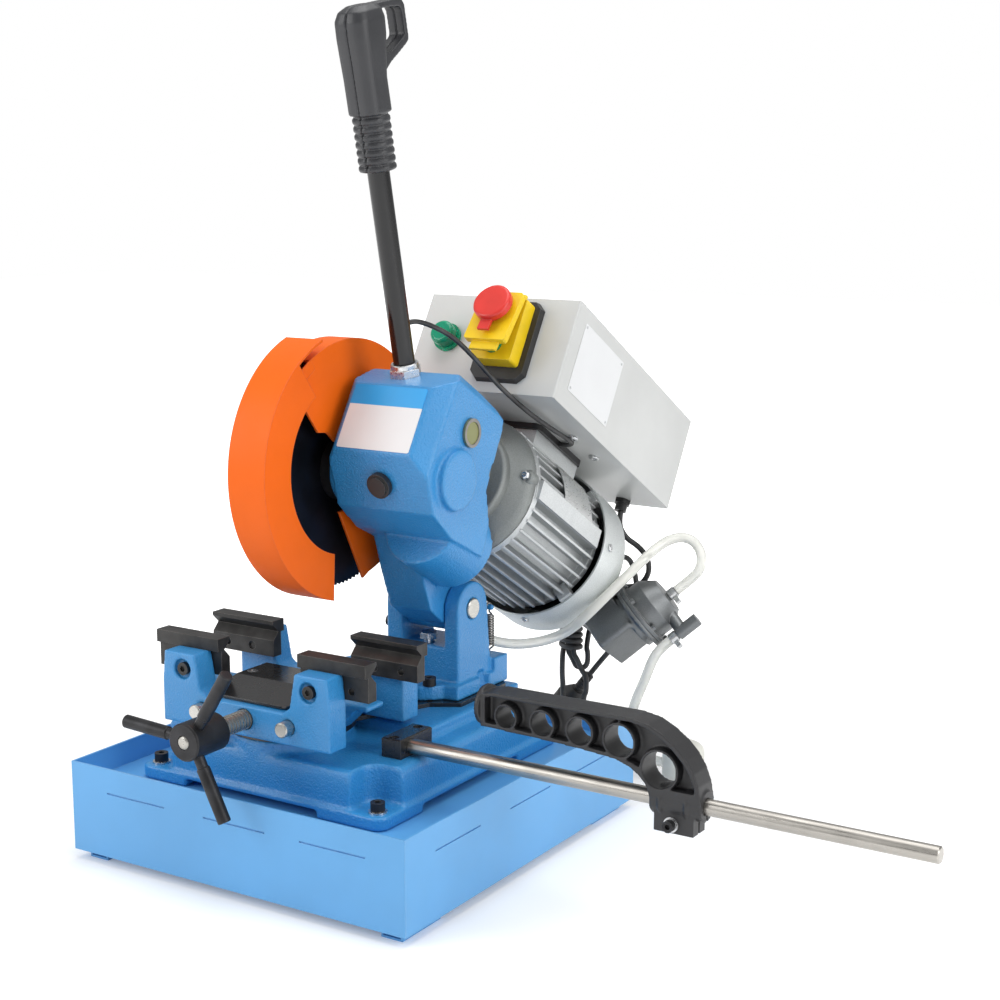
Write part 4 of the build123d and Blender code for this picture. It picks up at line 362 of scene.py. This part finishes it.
FINISH = {
    "tray": sheet_blue,
    "base_casting": cast_blue,
    "base_screws": screw_black,
    "swivel_plate": black_enamel,
    "vise_saddle": cast_blue,
    "guide_rods": pin_steel,
    "work_plate": black_enamel,
    "stop_block": black_enamel,
    "front_jaw_body": cast_blue,
    "front_jaws": jaw_black,
    "rear_jaw_body": cast_blue,
    "rear_jaws": jaw_black,
    "vise_screw": thread_steel,
    "vise_hub": screw_black,
    "vise_arms": screw_black,
    "stop_rod": rod_steel,
    "stop_arm": arm_black,
    "stop_screws": screw_black,
    "column": cast_blue,
    "column_bolts": screw_black,
    "pivot_pin": pin_steel,
    "return_spring": spring_steel,
    "gear_housing": cast_blue,
    "oil_fittings": part_black,
    "bearings": pin_steel,
    "spindle": screw_black,
    "worm_wheel": bronze,
    "saw_blade": blade_dark,
    "blade_clamp": screw_black,
    "blade_hood": guard_orange,
    "front_guard": guard_orange,
    "motor_frame": motor_silver,
    "motor_bell": bell_cast,
    "stator": spring_steel,
    "rotor": pin_steel,
    "cooling_fan": part_black,
    "fan_cover": cover_silver,
    "control_box": box_grey,
    "box_fittings": part_black,
    "pilot_lamp": lamp_green,
    "switch_base": part_black,
    "switch_body": switch_yellow,
    "start_button": start_green,
    "switch_flap": switch_yellow,
    "stop_mushroom": stop_red,
    "lever_tube": tube_black,
    "grip_left": handle_black,
    "grip_right": handle_black,
    "trigger": handle_black,
    "pump_body": pump_metal,
    "pump_cap": pump_metal,
    "hose_clamps": zinc,
    "delivery_hose": hose_clear,
    "suction_hose": hose_clear,
    "strainer": strainer_white,
    "lever_cable": cord_black,
    "mains_lead": cord_black,
    "mains_hank": cord_black,
    "plug_lead": cord_black,
    "mains_plug": plug_black,
}


def coat(piece, material):
    piece.data.materials.clear()
    piece.data.materials.append(material)


def second_finish(node, material, belongs):
    """Gives the faces whose middle passes the test another finish."""
    mesh = nodes[node].data
    mesh.materials.append(material)
    for face in mesh.polygons:
        if belongs(face.center):
            face.material_index = len(mesh.materials) - 1


for node, finish in FINISH.items():
    coat(nodes[node], finish)

# Screws and fittings that show a second finish: heights and places in the machine's frame
WASHER_TOP = 0.0867
PLATE_SCREW_Z = 0.165
STOP_BOLT_X = 0.039
STOP_BOLT_REACH = 0.012
STOP_BOLT_FOOT = 0.16
ARM_SCREWS_X = 0.3
CLAMP_SCREW_Y = -0.0905
SIGHT_GLASS = head(116.0, -140.0, 127.0)
SIGHT_RING = 16 * MM
SIGHT_DEPTH = 0.2 * MM
NUT_TOP = 12.5
second_finish("base_screws", zinc, lambda at: at.z < WASHER_TOP or at.z > PLATE_SCREW_Z)
second_finish("column_bolts", zinc,
              lambda at: abs(at.x - STOP_BOLT_X) < STOP_BOLT_REACH and at.z > STOP_BOLT_FOOT)
second_finish("stop_screws", zinc, lambda at: at.x > ARM_SCREWS_X and at.y > CLAMP_SCREW_Y)
second_finish("oil_fittings", spring_steel, lambda at: (at - SIGHT_GLASS).length < SIGHT_RING)
second_finish("oil_fittings", glass_clear,
              lambda at: (at - SIGHT_GLASS).length < SIGHT_RING and abs(at.x - SIGHT_GLASS.x) < SIGHT_DEPTH)
lever_axis = (lever(0, 0, 1) - lever(0, 0, 0)).normalized()
second_finish("lever_tube", zinc, lambda at: (at - lever(0, 0, 0)).dot(lever_axis) < NUT_TOP * MM)

# Cords and hoses: smooth lines on the control points of their routes


def cord_line(name, points, radius, finish):
    """A round cord on a smooth open spline with these control points."""
    curve = bpy.data.curves.new(name, "CURVE")
    curve.dimensions = "3D"
    curve.bevel_depth = radius
    curve.bevel_resolution = 5
    curve.use_fill_caps = True
    spline = curve.splines.new("NURBS")
    spline.points.add(len(points) - 1)
    for point, place in zip(spline.points, points):
        point.co = (*place, 1)
    spline.order_u = 3
    spline.use_endpoint_u = True
    spline.resolution_u = 8
    piece = bpy.data.objects.new(name, curve)
    bpy.context.scene.collection.objects.link(piece)
    coat(piece, finish)
    return piece


HOSE_R = 5.25 * MM
CABLE_R = 2.4 * MM
LEAD_R = 3.0 * MM

delivery_route = [
    pump(2.6, 0, 97), pump(2.6, 0, 113), head(197, 222, 135), head(198, 216, 152), head(184, 209, 166),
    head(165, 203, 162), head(152, 193, 142), head(147, 172, 112), head(138, 152, 78), head(122, 144, 46),
    world(104, 219, 169), world(87, 216, 159), world(71, 205, 154), world(55, 188, 153.5),
    world(38, 171, 159), world(19, 156, 170), world(2, 144, 188), world(-9, 132, 212),
    world(-12, 112, 238), head(-6, -8, 37), head(1, -26, 31), head(4, -37, 30), head(4, -49, 30),
]
suction_route = [
    pump(45, 0, 62), pump(45, 0, 47.4), world(165.4, 285.9, 129.7), world(156.5, 286.6, 106),
    world(146, 288.3, 84), world(139, 289.5, 62), world(138, 290, 41.7), world(146.3, 290, 27.3),
    world(160.7, 290, 19), world(180, 290, 19),
]
cable_route = [
    lever(0, 10, 46), lever(0, 22, 46), head(57, -173, 218), head(66, -146, 220), head(76, -117, 213),
    head(90, -92, 200), head(103, -64, 191.5), head(111, -36, 188.5), head(115, -8, 189.5),
    head(116, 19.5, 192.3), head(115.4, 33.9, 193.8), head(111.5, 40.5, 194.3),
    head(104.9, 44.4, 194.3), head(96, 44.4, 194.3),
]
lead_route = [
    head(96, 202, 205.3), head(96, 202, 173), head(104, 214, 159), head(119, 222, 153.5),
    head(131, 227, 143), head(135, 231, 128), head(127, 235.5, 115.5), head(112, 241, 112.5),
    head(97, 251, 115), head(83, 264, 112.5), head(71, 275, 101), world(59, 360, 150.5),
]

# The hank: four turns round the folded lead, one long loop below and one short one
HANK = (30.0, 350.0)
HANK_TOP = 137.0
HANK_R = 10.7
HANK_PITCH = 6.8
HANK_TURNS = 4.25
HANK_STEPS = 16
HANK_IN = Vector((-8, -0.4, -1.1)).normalized()
STRAND = 3.45


def winding_route():
    """Control points of the turns, which lie just outside the winding."""
    reach = HANK_R / cos(pi / HANK_STEPS)
    start = Vector((HANK[0], HANK[1] + HANK_R, HANK_TOP))
    points = [start - HANK_IN * 20, start - HANK_IN * 8]
    for step in range(1, int(HANK_TURNS * HANK_STEPS) + 1):
        share = (step - 0.5) / HANK_STEPS
        angle = pi / 2 + 2 * pi * share
        points.append(Vector((HANK[0] + reach * cos(angle), HANK[1] + reach * sin(angle),
                              HANK_TOP - HANK_PITCH * share)))
    return points


def loop_route(knots):
    """Two control points for each knot, before and after it on its own direction."""
    points = []
    for place, way, before, after in knots:
        way = Vector(way).normalized()
        points.append(Vector(place) - way * before)
        points.append(Vector(place) + way * after)
    return points


hank_knots = [
    ((22.5, 344, 89), (0, 0, -1), 9, 12),
    ((23.5, 344, 59), (0, 0, -1), 11, 13),
    ((36, 345, 35), (1, 0, 0), 9, 8),
    ((49, 346, 51), (0.1, 0, 1), 9, 7),
    ((52, 347, 69), (0, 0, 1), 7, 11),
    ((41, 349, 93), (-0.5, 0, 1), 9, 6),
    ((HANK[0] + STRAND, HANK[1], 109), (0, 0, 1), 7, 13),
    ((HANK[0] + STRAND, HANK[1], 141), (0, 0, 1), 13, 7),
    ((HANK[0], HANK[1], 151), (-1, 0, 0), 3, 3),
    ((HANK[0] - STRAND, HANK[1], 141), (0, 0, -1), 7, 13),
    ((HANK[0] - STRAND, HANK[1], 111), (0, 0, -1), 13, 6),
    ((30, 354.5, 95), (0.5, 0.15, -1), 6, 4.5),
    ((38, 357.5, 86), (1, 0, 0), 5, 5),
    ((46, 360.5, 97), (-0.05, 0.1, 1), 5.5, 7),
    ((43, 364.5, 115), (0.5, 3.5, 16), 8, 8),
]
hank_route = [point * MM for point in winding_route() + loop_route(hank_knots)]
tail_route = [
    world(45, 375, 152), world(50, 384, 177), world(57.5, 389.5, 198), world(69, 391, 211),
    world(83, 386.5, 212), world(94.5, 378, 201), world(102, 370, 184), world(103.5, 366, 165),
    world(97, 364, 143), world(82, 364, 120), world(64, 364.5, 100), world(46, 365, 77),
]

delivery_hose = cord_line("delivery_tube", delivery_route, HOSE_R, hose_clear)
suction_hose = cord_line("suction_tube", suction_route, HOSE_R, hose_clear)
lever_cable = cord_line("trigger_cable", cable_route, CABLE_R, cord_black)
mains_lead = cord_line("mains_cable", lead_route + hank_route + tail_route, LEAD_R, cord_black)

for piece, kept, slot_name in (
    (delivery_hose, ("delivery_hose",), "clear_hose"),
    (suction_hose, ("suction_hose",), "clear_hose"),
    (lever_cable, ("lever_cable",), "cord_rubber"),
    (mains_lead, ("mains_lead", "mains_hank", "plug_lead"), "cord_rubber"),
):
    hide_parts(*kept)
    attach(piece, "head")

# Castings and mouldings, with the rounded edges that their moulds give them


def softened(node, voxel, rounds, inset=0.0):
    """A copy of the node with its edges rounded, in the node's place, and a little smaller if asked."""
    mesh = nodes[node].data.copy()
    piece = bpy.data.objects.new(node + "_moulded", mesh)
    bpy.context.scene.collection.objects.link(piece)
    pick(piece)
    bpy.ops.object.mode_set(mode="EDIT")
    bpy.ops.mesh.select_all(action="SELECT")
    bpy.ops.mesh.remove_doubles(threshold=0.001 * MM)
    bpy.ops.object.mode_set(mode="OBJECT")
    mould = piece.modifiers.new("mould", "REMESH")
    mould.mode = "VOXEL"
    mould.voxel_size = voxel
    fettle = piece.modifiers.new("fettle", "SMOOTH")
    fettle.factor = 0.5
    fettle.iterations = rounds
    steps = [mould, fettle]
    if inset > 0:
        shrink = piece.modifiers.new("shrink", "DISPLACE")
        shrink.mid_level = 0
        shrink.strength = -inset
        steps.append(shrink)
    for modifier in steps:
        bpy.ops.object.modifier_apply(modifier=modifier.name)
    bpy.ops.object.shade_smooth()
    coat(piece, FINISH[node])
    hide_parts(node)
    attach(piece, body_of[node])
    return piece


def pick(piece):
    """Makes this the one selected and active object."""
    bpy.ops.object.select_all(action="DESELECT")
    piece.select_set(True)
    bpy.context.view_layer.objects.active = piece


for node, voxel, rounds in (
    ("base_casting", 2.0, 3),
    ("gear_housing", 1.5, 3),
    ("column", 1.3, 3),
    ("vise_saddle", 1.3, 3),
    ("motor_bell", 1.5, 3),
    ("pump_body", 1.3, 3),
    ("stop_arm", 1.0, 3),
    ("grip_left", 1.0, 9),
    ("grip_right", 1.0, 9),
):
    softened(node, voxel * MM, rounds)
softened("trigger", 0.6 * MM, 4, 0.4 * MM)

VISE_SCREW = (-17.0, -88.0, 152.5)
JAW_BORE = 9.8
BORE_LEN = 400.0


def rebored(piece):
    """The vise screw's bore cut clean again through a softened jaw body."""
    bpy.ops.object.select_all(action="DESELECT")
    bpy.ops.mesh.primitive_cylinder_add(vertices=96, radius=JAW_BORE * MM, depth=BORE_LEN * MM,
                                        location=world(*VISE_SCREW), rotation=(radians(90), 0, 0))
    cutter = bpy.context.object
    pick(piece)
    bore = piece.modifiers.new("bore", "BOOLEAN")
    bore.operation = "DIFFERENCE"
    bore.object = cutter
    bpy.ops.object.modifier_apply(modifier=bore.name)
    bpy.ops.object.shade_smooth_by_angle(angle=radians(50))
    bpy.data.objects.remove(cutter)


for node in ("front_jaw_body", "rear_jaw_body"):
    rebored(softened(node, 1.2 * MM, 3))

# Return spring: closed coil with an eye round the head's pin

SPRING = (70.0, 116.0)
SPRING_FOOT = 163.0
SPRING_LOW = 171.0
SPRING_R = 5.0
SPRING_WIRE = 0.9
SPRING_PITCH = 2.5
SPRING_TURNS = 13
SPRING_STEPS = 12
SPRING_PIN_Z = 211.0
EYE_R = 4.4


def return_spring():
    route = [(*SPRING, SPRING_FOOT), (*SPRING, SPRING_FOOT + 4)]
    for step in range(SPRING_TURNS * SPRING_STEPS + 1):
        angle = 2 * pi * step / SPRING_STEPS
        route.append((SPRING[0] + SPRING_R * cos(angle), SPRING[1] + SPRING_R * sin(angle),
                      SPRING_LOW + SPRING_PITCH * step / SPRING_STEPS))
    for angle in range(-90, 211, 30):
        route.append((SPRING[0], SPRING[1] + EYE_R * cos(radians(angle)),
                      SPRING_PIN_Z + EYE_R * sin(radians(angle))))
    coil = cord_line("coil_spring", [world(*point) for point in route], SPRING_WIRE * MM, spring_steel)
    coil.data.bevel_resolution = 3
    coil.data.splines[0].resolution_u = 3
    pick(coil)
    bpy.ops.object.convert(target="MESH")
    coil = bpy.context.object
    bpy.ops.object.shade_smooth()
    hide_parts("return_spring")
    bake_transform(coil)


return_spring()

# Plates and small fasteners

HEAD_BACK = HEAD_TURN @ Vector((0, 1, 0))
HEAD_UP = HEAD_TURN @ Vector((0, 0, 1))
RIGHT = Vector((1, 0, 0))


def standing(place, right, up):
    """Matrix that puts a piece made flat on the XY plane on a face, with its top outwards."""
    turn = Matrix((right, up, right.cross(up))).transposed()
    return Matrix.Translation(place) @ turn.to_4x4()


def set_down(piece, stand, body):
    pick(piece)
    piece.matrix_world = stand
    bpy.ops.object.transform_apply(location=True, rotation=True, scale=True)
    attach(piece, body)


def upright_edges(mesh):
    for edge in mesh.edges:
        first, last = (mesh.vertices[index].co for index in edge.vertices)
        edge.select = abs(first.z - last.z) > 1e-6


def bare_plate(name, width, height, thick, corner, finish):
    """Flat plate with rounded corners and a softened rim, lying on the XY plane."""
    bpy.ops.object.select_all(action="DESELECT")
    bpy.ops.mesh.primitive_cube_add(size=1, location=(0, 0, 0))
    piece = bpy.context.object
    piece.name = name
    piece.data.transform(Matrix.Diagonal((width, height, thick, 1)) @ Matrix.Translation((0, 0, 0.5)))
    bpy.ops.object.mode_set(mode="EDIT")
    bpy.ops.mesh.select_mode(type="EDGE")
    bpy.ops.mesh.select_all(action="DESELECT")
    bpy.ops.object.mode_set(mode="OBJECT")
    upright_edges(piece.data)
    bpy.ops.object.mode_set(mode="EDIT")
    bpy.ops.mesh.bevel(offset=corner, segments=5, affect="EDGES")
    bpy.ops.object.mode_set(mode="OBJECT")
    rim = piece.modifiers.new("rim", "BEVEL")
    rim.width = 0.25 * thick
    rim.segments = 2
    bpy.ops.object.modifier_apply(modifier=rim.name)
    coat(piece, finish)
    return piece


def round_head(name, radius, height, socket, finish, sides=28):
    """Domed screw head with a socket, standing on the XY plane."""
    bpy.ops.object.select_all(action="DESELECT")
    bpy.ops.mesh.primitive_cylinder_add(vertices=sides, radius=radius, depth=height,
                                        location=(0, 0, height / 2))
    piece = bpy.context.object
    piece.name = name
    bpy.ops.object.transform_apply(location=True, rotation=True, scale=True)
    bpy.ops.object.mode_set(mode="EDIT")
    bpy.ops.mesh.select_mode(type="FACE")
    bpy.ops.mesh.select_all(action="DESELECT")
    bpy.ops.object.mode_set(mode="OBJECT")
    for face in piece.data.polygons:
        face.select = face.normal.z > 0.9
    bpy.ops.object.mode_set(mode="EDIT")
    bpy.ops.mesh.inset(thickness=radius * 0.28)
    bpy.ops.transform.translate(value=(0, 0, height * 0.35))
    bpy.ops.mesh.inset(thickness=radius * 0.72 - socket)
    bpy.ops.mesh.extrude_region_move(TRANSFORM_OT_translate={"value": (0, 0, -height * 0.6)})
    bpy.ops.object.mode_set(mode="OBJECT")
    rim = piece.modifiers.new("rim", "BEVEL")
    rim.width = 0.06 * radius
    rim.segments = 2
    rim.limit_method = "ANGLE"
    bpy.ops.object.modifier_apply(modifier=rim.name)
    bpy.ops.object.shade_smooth_by_angle(angle=radians(40))
    coat(piece, finish)
    return piece


def copied(piece, name):
    twin = piece.copy()
    twin.data = piece.data.copy()
    twin.name = name
    bpy.context.scene.collection.objects.link(twin)
    return twin


def fasteners(name, pattern, stands, body):
    """One fastener at each stand, each with its own mesh."""
    for number, stand in enumerate(stands):
        set_down(copied(pattern, f"{name}_{number + 1}"), stand, body)
    bpy.data.objects.remove(pattern)


label_white = moulded("label_white", (0.75, 0.76, 0.77), 0.34, 1800, 0.02 * MM, 0.3 * MM, (0.98, 1.01))
label_blue = moulded("label_blue", (0.012, 0.33, 0.74), 0.32, 1800, 0.02 * MM, 0.3 * MM, (0.97, 1.02))
plate_metal = turned_steel("plate_metal", (0.84, 0.85, 0.85), 0.32, (600, 40, 600), (0.70, 0.70, 0.69))

LABEL_FACE = -198.0
LABEL_MIDDLE = (56.5, 111.0)
LABEL_W = 80.0
LABEL_H = 63.0
LABEL_BAND = 12.0


def front_label():
    """Bare sticker on the gear housing: white, with a plain blue band along its top."""
    piece = bare_plate("front_label", LABEL_W * MM, LABEL_H * MM, 0.5 * MM, 2 * MM, label_white)
    bpy.ops.object.mode_set(mode="EDIT")
    bpy.ops.mesh.select_all(action="SELECT")
    bpy.ops.mesh.bisect(plane_co=(0, LABEL_BAND * MM, 0), plane_no=(0, 1, 0))
    bpy.ops.object.mode_set(mode="OBJECT")
    piece.data.materials.append(label_blue)
    for face in piece.data.polygons:
        face.material_index = int(face.center.y > LABEL_BAND * MM)
    place = head(LABEL_MIDDLE[0], LABEL_FACE, LABEL_MIDDLE[1])
    set_down(piece, standing(place, RIGHT, HEAD_UP), "head")


front_label()

# Control box: bare plate with rivets on its side, two nuts under it
BOX_SIDE = 145.3
BOX_UNDER = 197.3
PLATE_T = 0.6
BOX_PLATE = (89.0, 71.0)
BOX_PLATE_AT = (-6.5, 250.5)
RIVET_OUT = (41.0, 32.0)
BOX_NUT_X = 119.0
BOX_NUT_Y = (28.0, 78.0)
side_plate = bare_plate("box_plate", BOX_PLATE[0] * MM, BOX_PLATE[1] * MM, PLATE_T * MM, 1.5 * MM,
                        label_white)
set_down(side_plate, standing(head(BOX_SIDE, *BOX_PLATE_AT), HEAD_BACK, HEAD_UP), "head")
plate_rivet = round_head("plate_rivet", 1.4 * MM, 0.5 * MM, 0.5 * MM, zinc, 16)
rivet_stands = []
for y in (BOX_PLATE_AT[0] - RIVET_OUT[0], BOX_PLATE_AT[0] + RIVET_OUT[0]):
    for z in (BOX_PLATE_AT[1] - RIVET_OUT[1], BOX_PLATE_AT[1] + RIVET_OUT[1]):
        rivet_stands.append(standing(head(BOX_SIDE + PLATE_T, y, z), HEAD_BACK, HEAD_UP))
fasteners("box_rivet", plate_rivet, rivet_stands, "head")
under_nut = round_head("box_nut", 5.5 * MM, 2.2 * MM, 2.0 * MM, zinc)
fasteners("box_nut", under_nut,
          [standing(head(BOX_NUT_X, y, BOX_UNDER), RIGHT, -HEAD_BACK) for y in BOX_NUT_Y], "head")

# The hood's outer corner, placed round the spindle
SPINDLE = (-142.6, 78.8)
HOOD_WALL = -2.9
CORNER_R = 117.5
CORNER_AT = 153.8
CORNER_SIZE = (19.0, 11.6)
CORNER_T = 1.6


def hood_corner():
    """Outer corner of the hood's right wall, behind the end of the guard's lip."""
    angle = radians(CORNER_AT)
    out = HEAD_BACK * cos(angle) + HEAD_UP * sin(angle)
    along = HEAD_BACK * sin(angle) - HEAD_UP * cos(angle)
    plate = bare_plate("hood_corner", CORNER_SIZE[0] * MM, CORNER_SIZE[1] * MM, CORNER_T * MM, 1.5 * MM,
                       guard_orange)
    place = head(HOOD_WALL, *SPINDLE) + out * CORNER_R * MM
    set_down(plate, standing(place, along, out), "head")


hood_corner()

# Motor: bent plate, fan cover's screws, and the front bell's hub, ears and bolts
MOTOR_AXIS = (56.0, 111.0)
PLATE_R = 76.0
PLATE_ARC = (15.0, 47.0)
PLATE_LEN = 63.0
PLATE_MIDDLE = 60.0


def motor_plate():
    """Thin plate bent round the motor's fins, above the bar on its side."""
    bpy.ops.object.select_all(action="DESELECT")
    bpy.ops.mesh.primitive_cylinder_add(vertices=180, radius=PLATE_R * MM, depth=PLATE_LEN * MM,
                                        end_fill_type="NOTHING")
    piece = bpy.context.object
    piece.name = "motor_plate"
    bpy.ops.object.mode_set(mode="EDIT")
    bpy.ops.mesh.select_mode(type="FACE")
    bpy.ops.mesh.select_all(action="DESELECT")
    bpy.ops.object.mode_set(mode="OBJECT")
    for face in piece.data.polygons:
        turn = degrees(atan2(face.center.y, face.center.x))
        face.select = not PLATE_ARC[0] < turn < PLATE_ARC[1]
    bpy.ops.object.mode_set(mode="EDIT")
    bpy.ops.mesh.delete(type="FACE")
    bpy.ops.object.mode_set(mode="OBJECT")
    sheet = piece.modifiers.new("sheet", "SOLIDIFY")
    sheet.thickness = PLATE_T * MM
    sheet.offset = 1
    bpy.ops.object.modifier_apply(modifier=sheet.name)
    bpy.ops.object.shade_smooth_by_angle(angle=radians(40))
    coat(piece, plate_metal)
    set_down(piece, standing(head(MOTOR_AXIS[0], PLATE_MIDDLE, MOTOR_AXIS[1]), RIGHT, HEAD_UP), "head")


motor_plate()

COVER_R = 81.5
COVER_SCREW_Y = 128.0
COVER_SCREW_SINK = 0.3
COVER_TURNS = (5, 95, 185, 275)
cover_screw = round_head("cover_screw", 4.2 * MM, 2.0 * MM, 1.6 * MM, zinc)
cover_stands = []
for turn in COVER_TURNS:
    out = RIGHT * cos(radians(turn)) + HEAD_UP * sin(radians(turn))
    seat = head(MOTOR_AXIS[0], COVER_SCREW_Y, MOTOR_AXIS[1]) + out * (COVER_R - COVER_SCREW_SINK) * MM
    cover_stands.append(standing(seat, HEAD_BACK, out.cross(HEAD_BACK)))
fasteners("cover_screw", cover_screw, cover_stands, "head")

HUB_R = 55.0
HUB_DEPTH = 14.0
HUB_BACK = -46.0
HUB_EDGE = 4.0


def bell_hub():
    """Raised round seat in the middle of the motor's front bell."""
    bpy.ops.object.select_all(action="DESELECT")
    bpy.ops.mesh.primitive_cylinder_add(vertices=96, radius=HUB_R * MM, depth=HUB_DEPTH * MM,
                                        location=(0, 0, HUB_DEPTH / 2 * MM))
    piece = bpy.context.object
    piece.name = "bell_hub"
    bpy.ops.object.transform_apply(location=True, rotation=True, scale=True)
    rim = piece.modifiers.new("rim", "BEVEL")
    rim.width = HUB_EDGE * MM
    rim.segments = 5
    bpy.ops.object.modifier_apply(modifier=rim.name)
    bpy.ops.object.shade_smooth_by_angle(angle=radians(40))
    coat(piece, bell_cast)
    set_down(piece, standing(head(MOTOR_AXIS[0], HUB_BACK, MOTOR_AXIS[1]), RIGHT, HEAD_UP), "head")


bell_hub()

BELL_EAR_R = 68.0
BELL_EAR_Y = -29.0
BELL_EAR_LEN = 9.0
BELL_EAR_FRONT = BELL_EAR_Y - 1.3 * BELL_EAR_LEN
BELL_EAR_TURNS = (13, 103, 283)
bell_ear = round_head("bell_ear", 8.0 * MM, BELL_EAR_LEN * MM, 3.0 * MM, bell_cast)
bell_bolt = round_head("bell_bolt", 4.8 * MM, 4.0 * MM, 1.8 * MM, zinc, 6)
ear_stands = []
bolt_stands = []
for turn in BELL_EAR_TURNS:
    x = MOTOR_AXIS[0] + BELL_EAR_R * cos(radians(turn))
    z = MOTOR_AXIS[1] + BELL_EAR_R * sin(radians(turn))
    ear_stands.append(standing(head(x, BELL_EAR_Y, z), RIGHT, HEAD_UP))
    bolt_stands.append(standing(head(x, BELL_EAR_FRONT, z), RIGHT, HEAD_UP))
fasteners("bell_ear", bell_ear, ear_stands, "head")
fasteners("bell_bolt", bell_bolt, bolt_stands, "head")

# Floor, light and camera


def studio():
    bpy.ops.object.select_all(action="DESELECT")
    bpy.ops.mesh.primitive_plane_add(size=14)
    floor = bpy.context.object
    floor.name = "floor"
    material, tree, shader = start_material("floor_white", 0.9)
    shader.inputs["Base Color"].default_value = (0.93, 0.93, 0.93, 1)
    shader.inputs["Specular IOR Level"].default_value = 0.1
    path = tree.nodes.new("ShaderNodeLightPath")
    seen = tree.nodes.new("ShaderNodeMath")
    seen.operation = "MAXIMUM"
    tree.links.new(path.outputs["Is Camera Ray"], seen.inputs[0])
    tree.links.new(path.outputs["Is Glossy Ray"], seen.inputs[1])
    also = tree.nodes.new("ShaderNodeMath")
    also.operation = "MAXIMUM"
    tree.links.new(seen.outputs[0], also.inputs[0])
    tree.links.new(path.outputs["Is Transmission Ray"], also.inputs[1])
    shader.inputs["Emission Color"].default_value = (1, 1, 1, 1)
    far = tree.nodes.new("ShaderNodeVectorMath")
    far.operation = "LENGTH"
    tree.links.new(object_place(tree), far.inputs[0])
    glow = tree.nodes.new("ShaderNodeMath")
    glow.operation = "MULTIPLY"
    tree.links.new(also.outputs[0], glow.inputs[0])
    tree.links.new(ramp(tree, far.outputs["Value"], 0.16, 1.0, 0.45, 1.1), glow.inputs[1])
    tree.links.new(glow.outputs[0], shader.inputs["Emission Strength"])
    coat(floor, material)

    backdrop = bpy.data.worlds.new("studio")
    bpy.context.scene.world = backdrop
    backdrop.use_nodes = True
    tree = backdrop.node_tree
    sky = tree.nodes["Background"]
    path = tree.nodes.new("ShaderNodeLightPath")
    seen = tree.nodes.new("ShaderNodeMath")
    seen.operation = "MAXIMUM"
    tree.links.new(path.outputs["Is Camera Ray"], seen.inputs[0])
    tree.links.new(path.outputs["Is Transmission Ray"], seen.inputs[1])
    sky.inputs["Color"].default_value = (1, 1, 1, 1)
    tree.links.new(ramp(tree, seen.outputs[0], 0.48, 1.0), sky.inputs["Strength"])


def softbox(name, place, aim, size, power):
    light = bpy.data.lights.new(name, "AREA")
    light.shape = "RECTANGLE"
    light.size = size[0]
    light.size_y = size[1]
    light.energy = power
    lamp = bpy.data.objects.new(name, light)
    lamp.location = place
    lamp.rotation_euler = (Vector(aim) - Vector(place)).to_track_quat("-Z", "Y").to_euler()
    bpy.context.scene.collection.objects.link(lamp)


def photo_camera():
    camera = bpy.data.cameras.new("photo_camera")
    camera.sensor_width = 36
    camera.lens = 64.465
    holder = bpy.data.objects.new("photo_camera", camera)
    holder.location = (1.0013, -1.3398, 0.6396)
    holder.rotation_euler = (radians(79.48), 0, radians(32.23))
    bpy.context.scene.collection.objects.link(holder)
    bpy.context.scene.camera = holder


studio()
softbox("left_box", (-1.6, -2.0, 1.5), (0, 0, 0.3), (1.6, 1.8), 34)
softbox("right_box", (2.3, -0.2, 1.3), (0, 0, 0.3), (1.2, 1.8), 26)
softbox("top_box", (0.1, 0.3, 2.6), (0, 0, 0.3), (2.0, 2.0), 34)
photo_camera()
bpy.context.scene.view_settings.view_transform = "Standard"
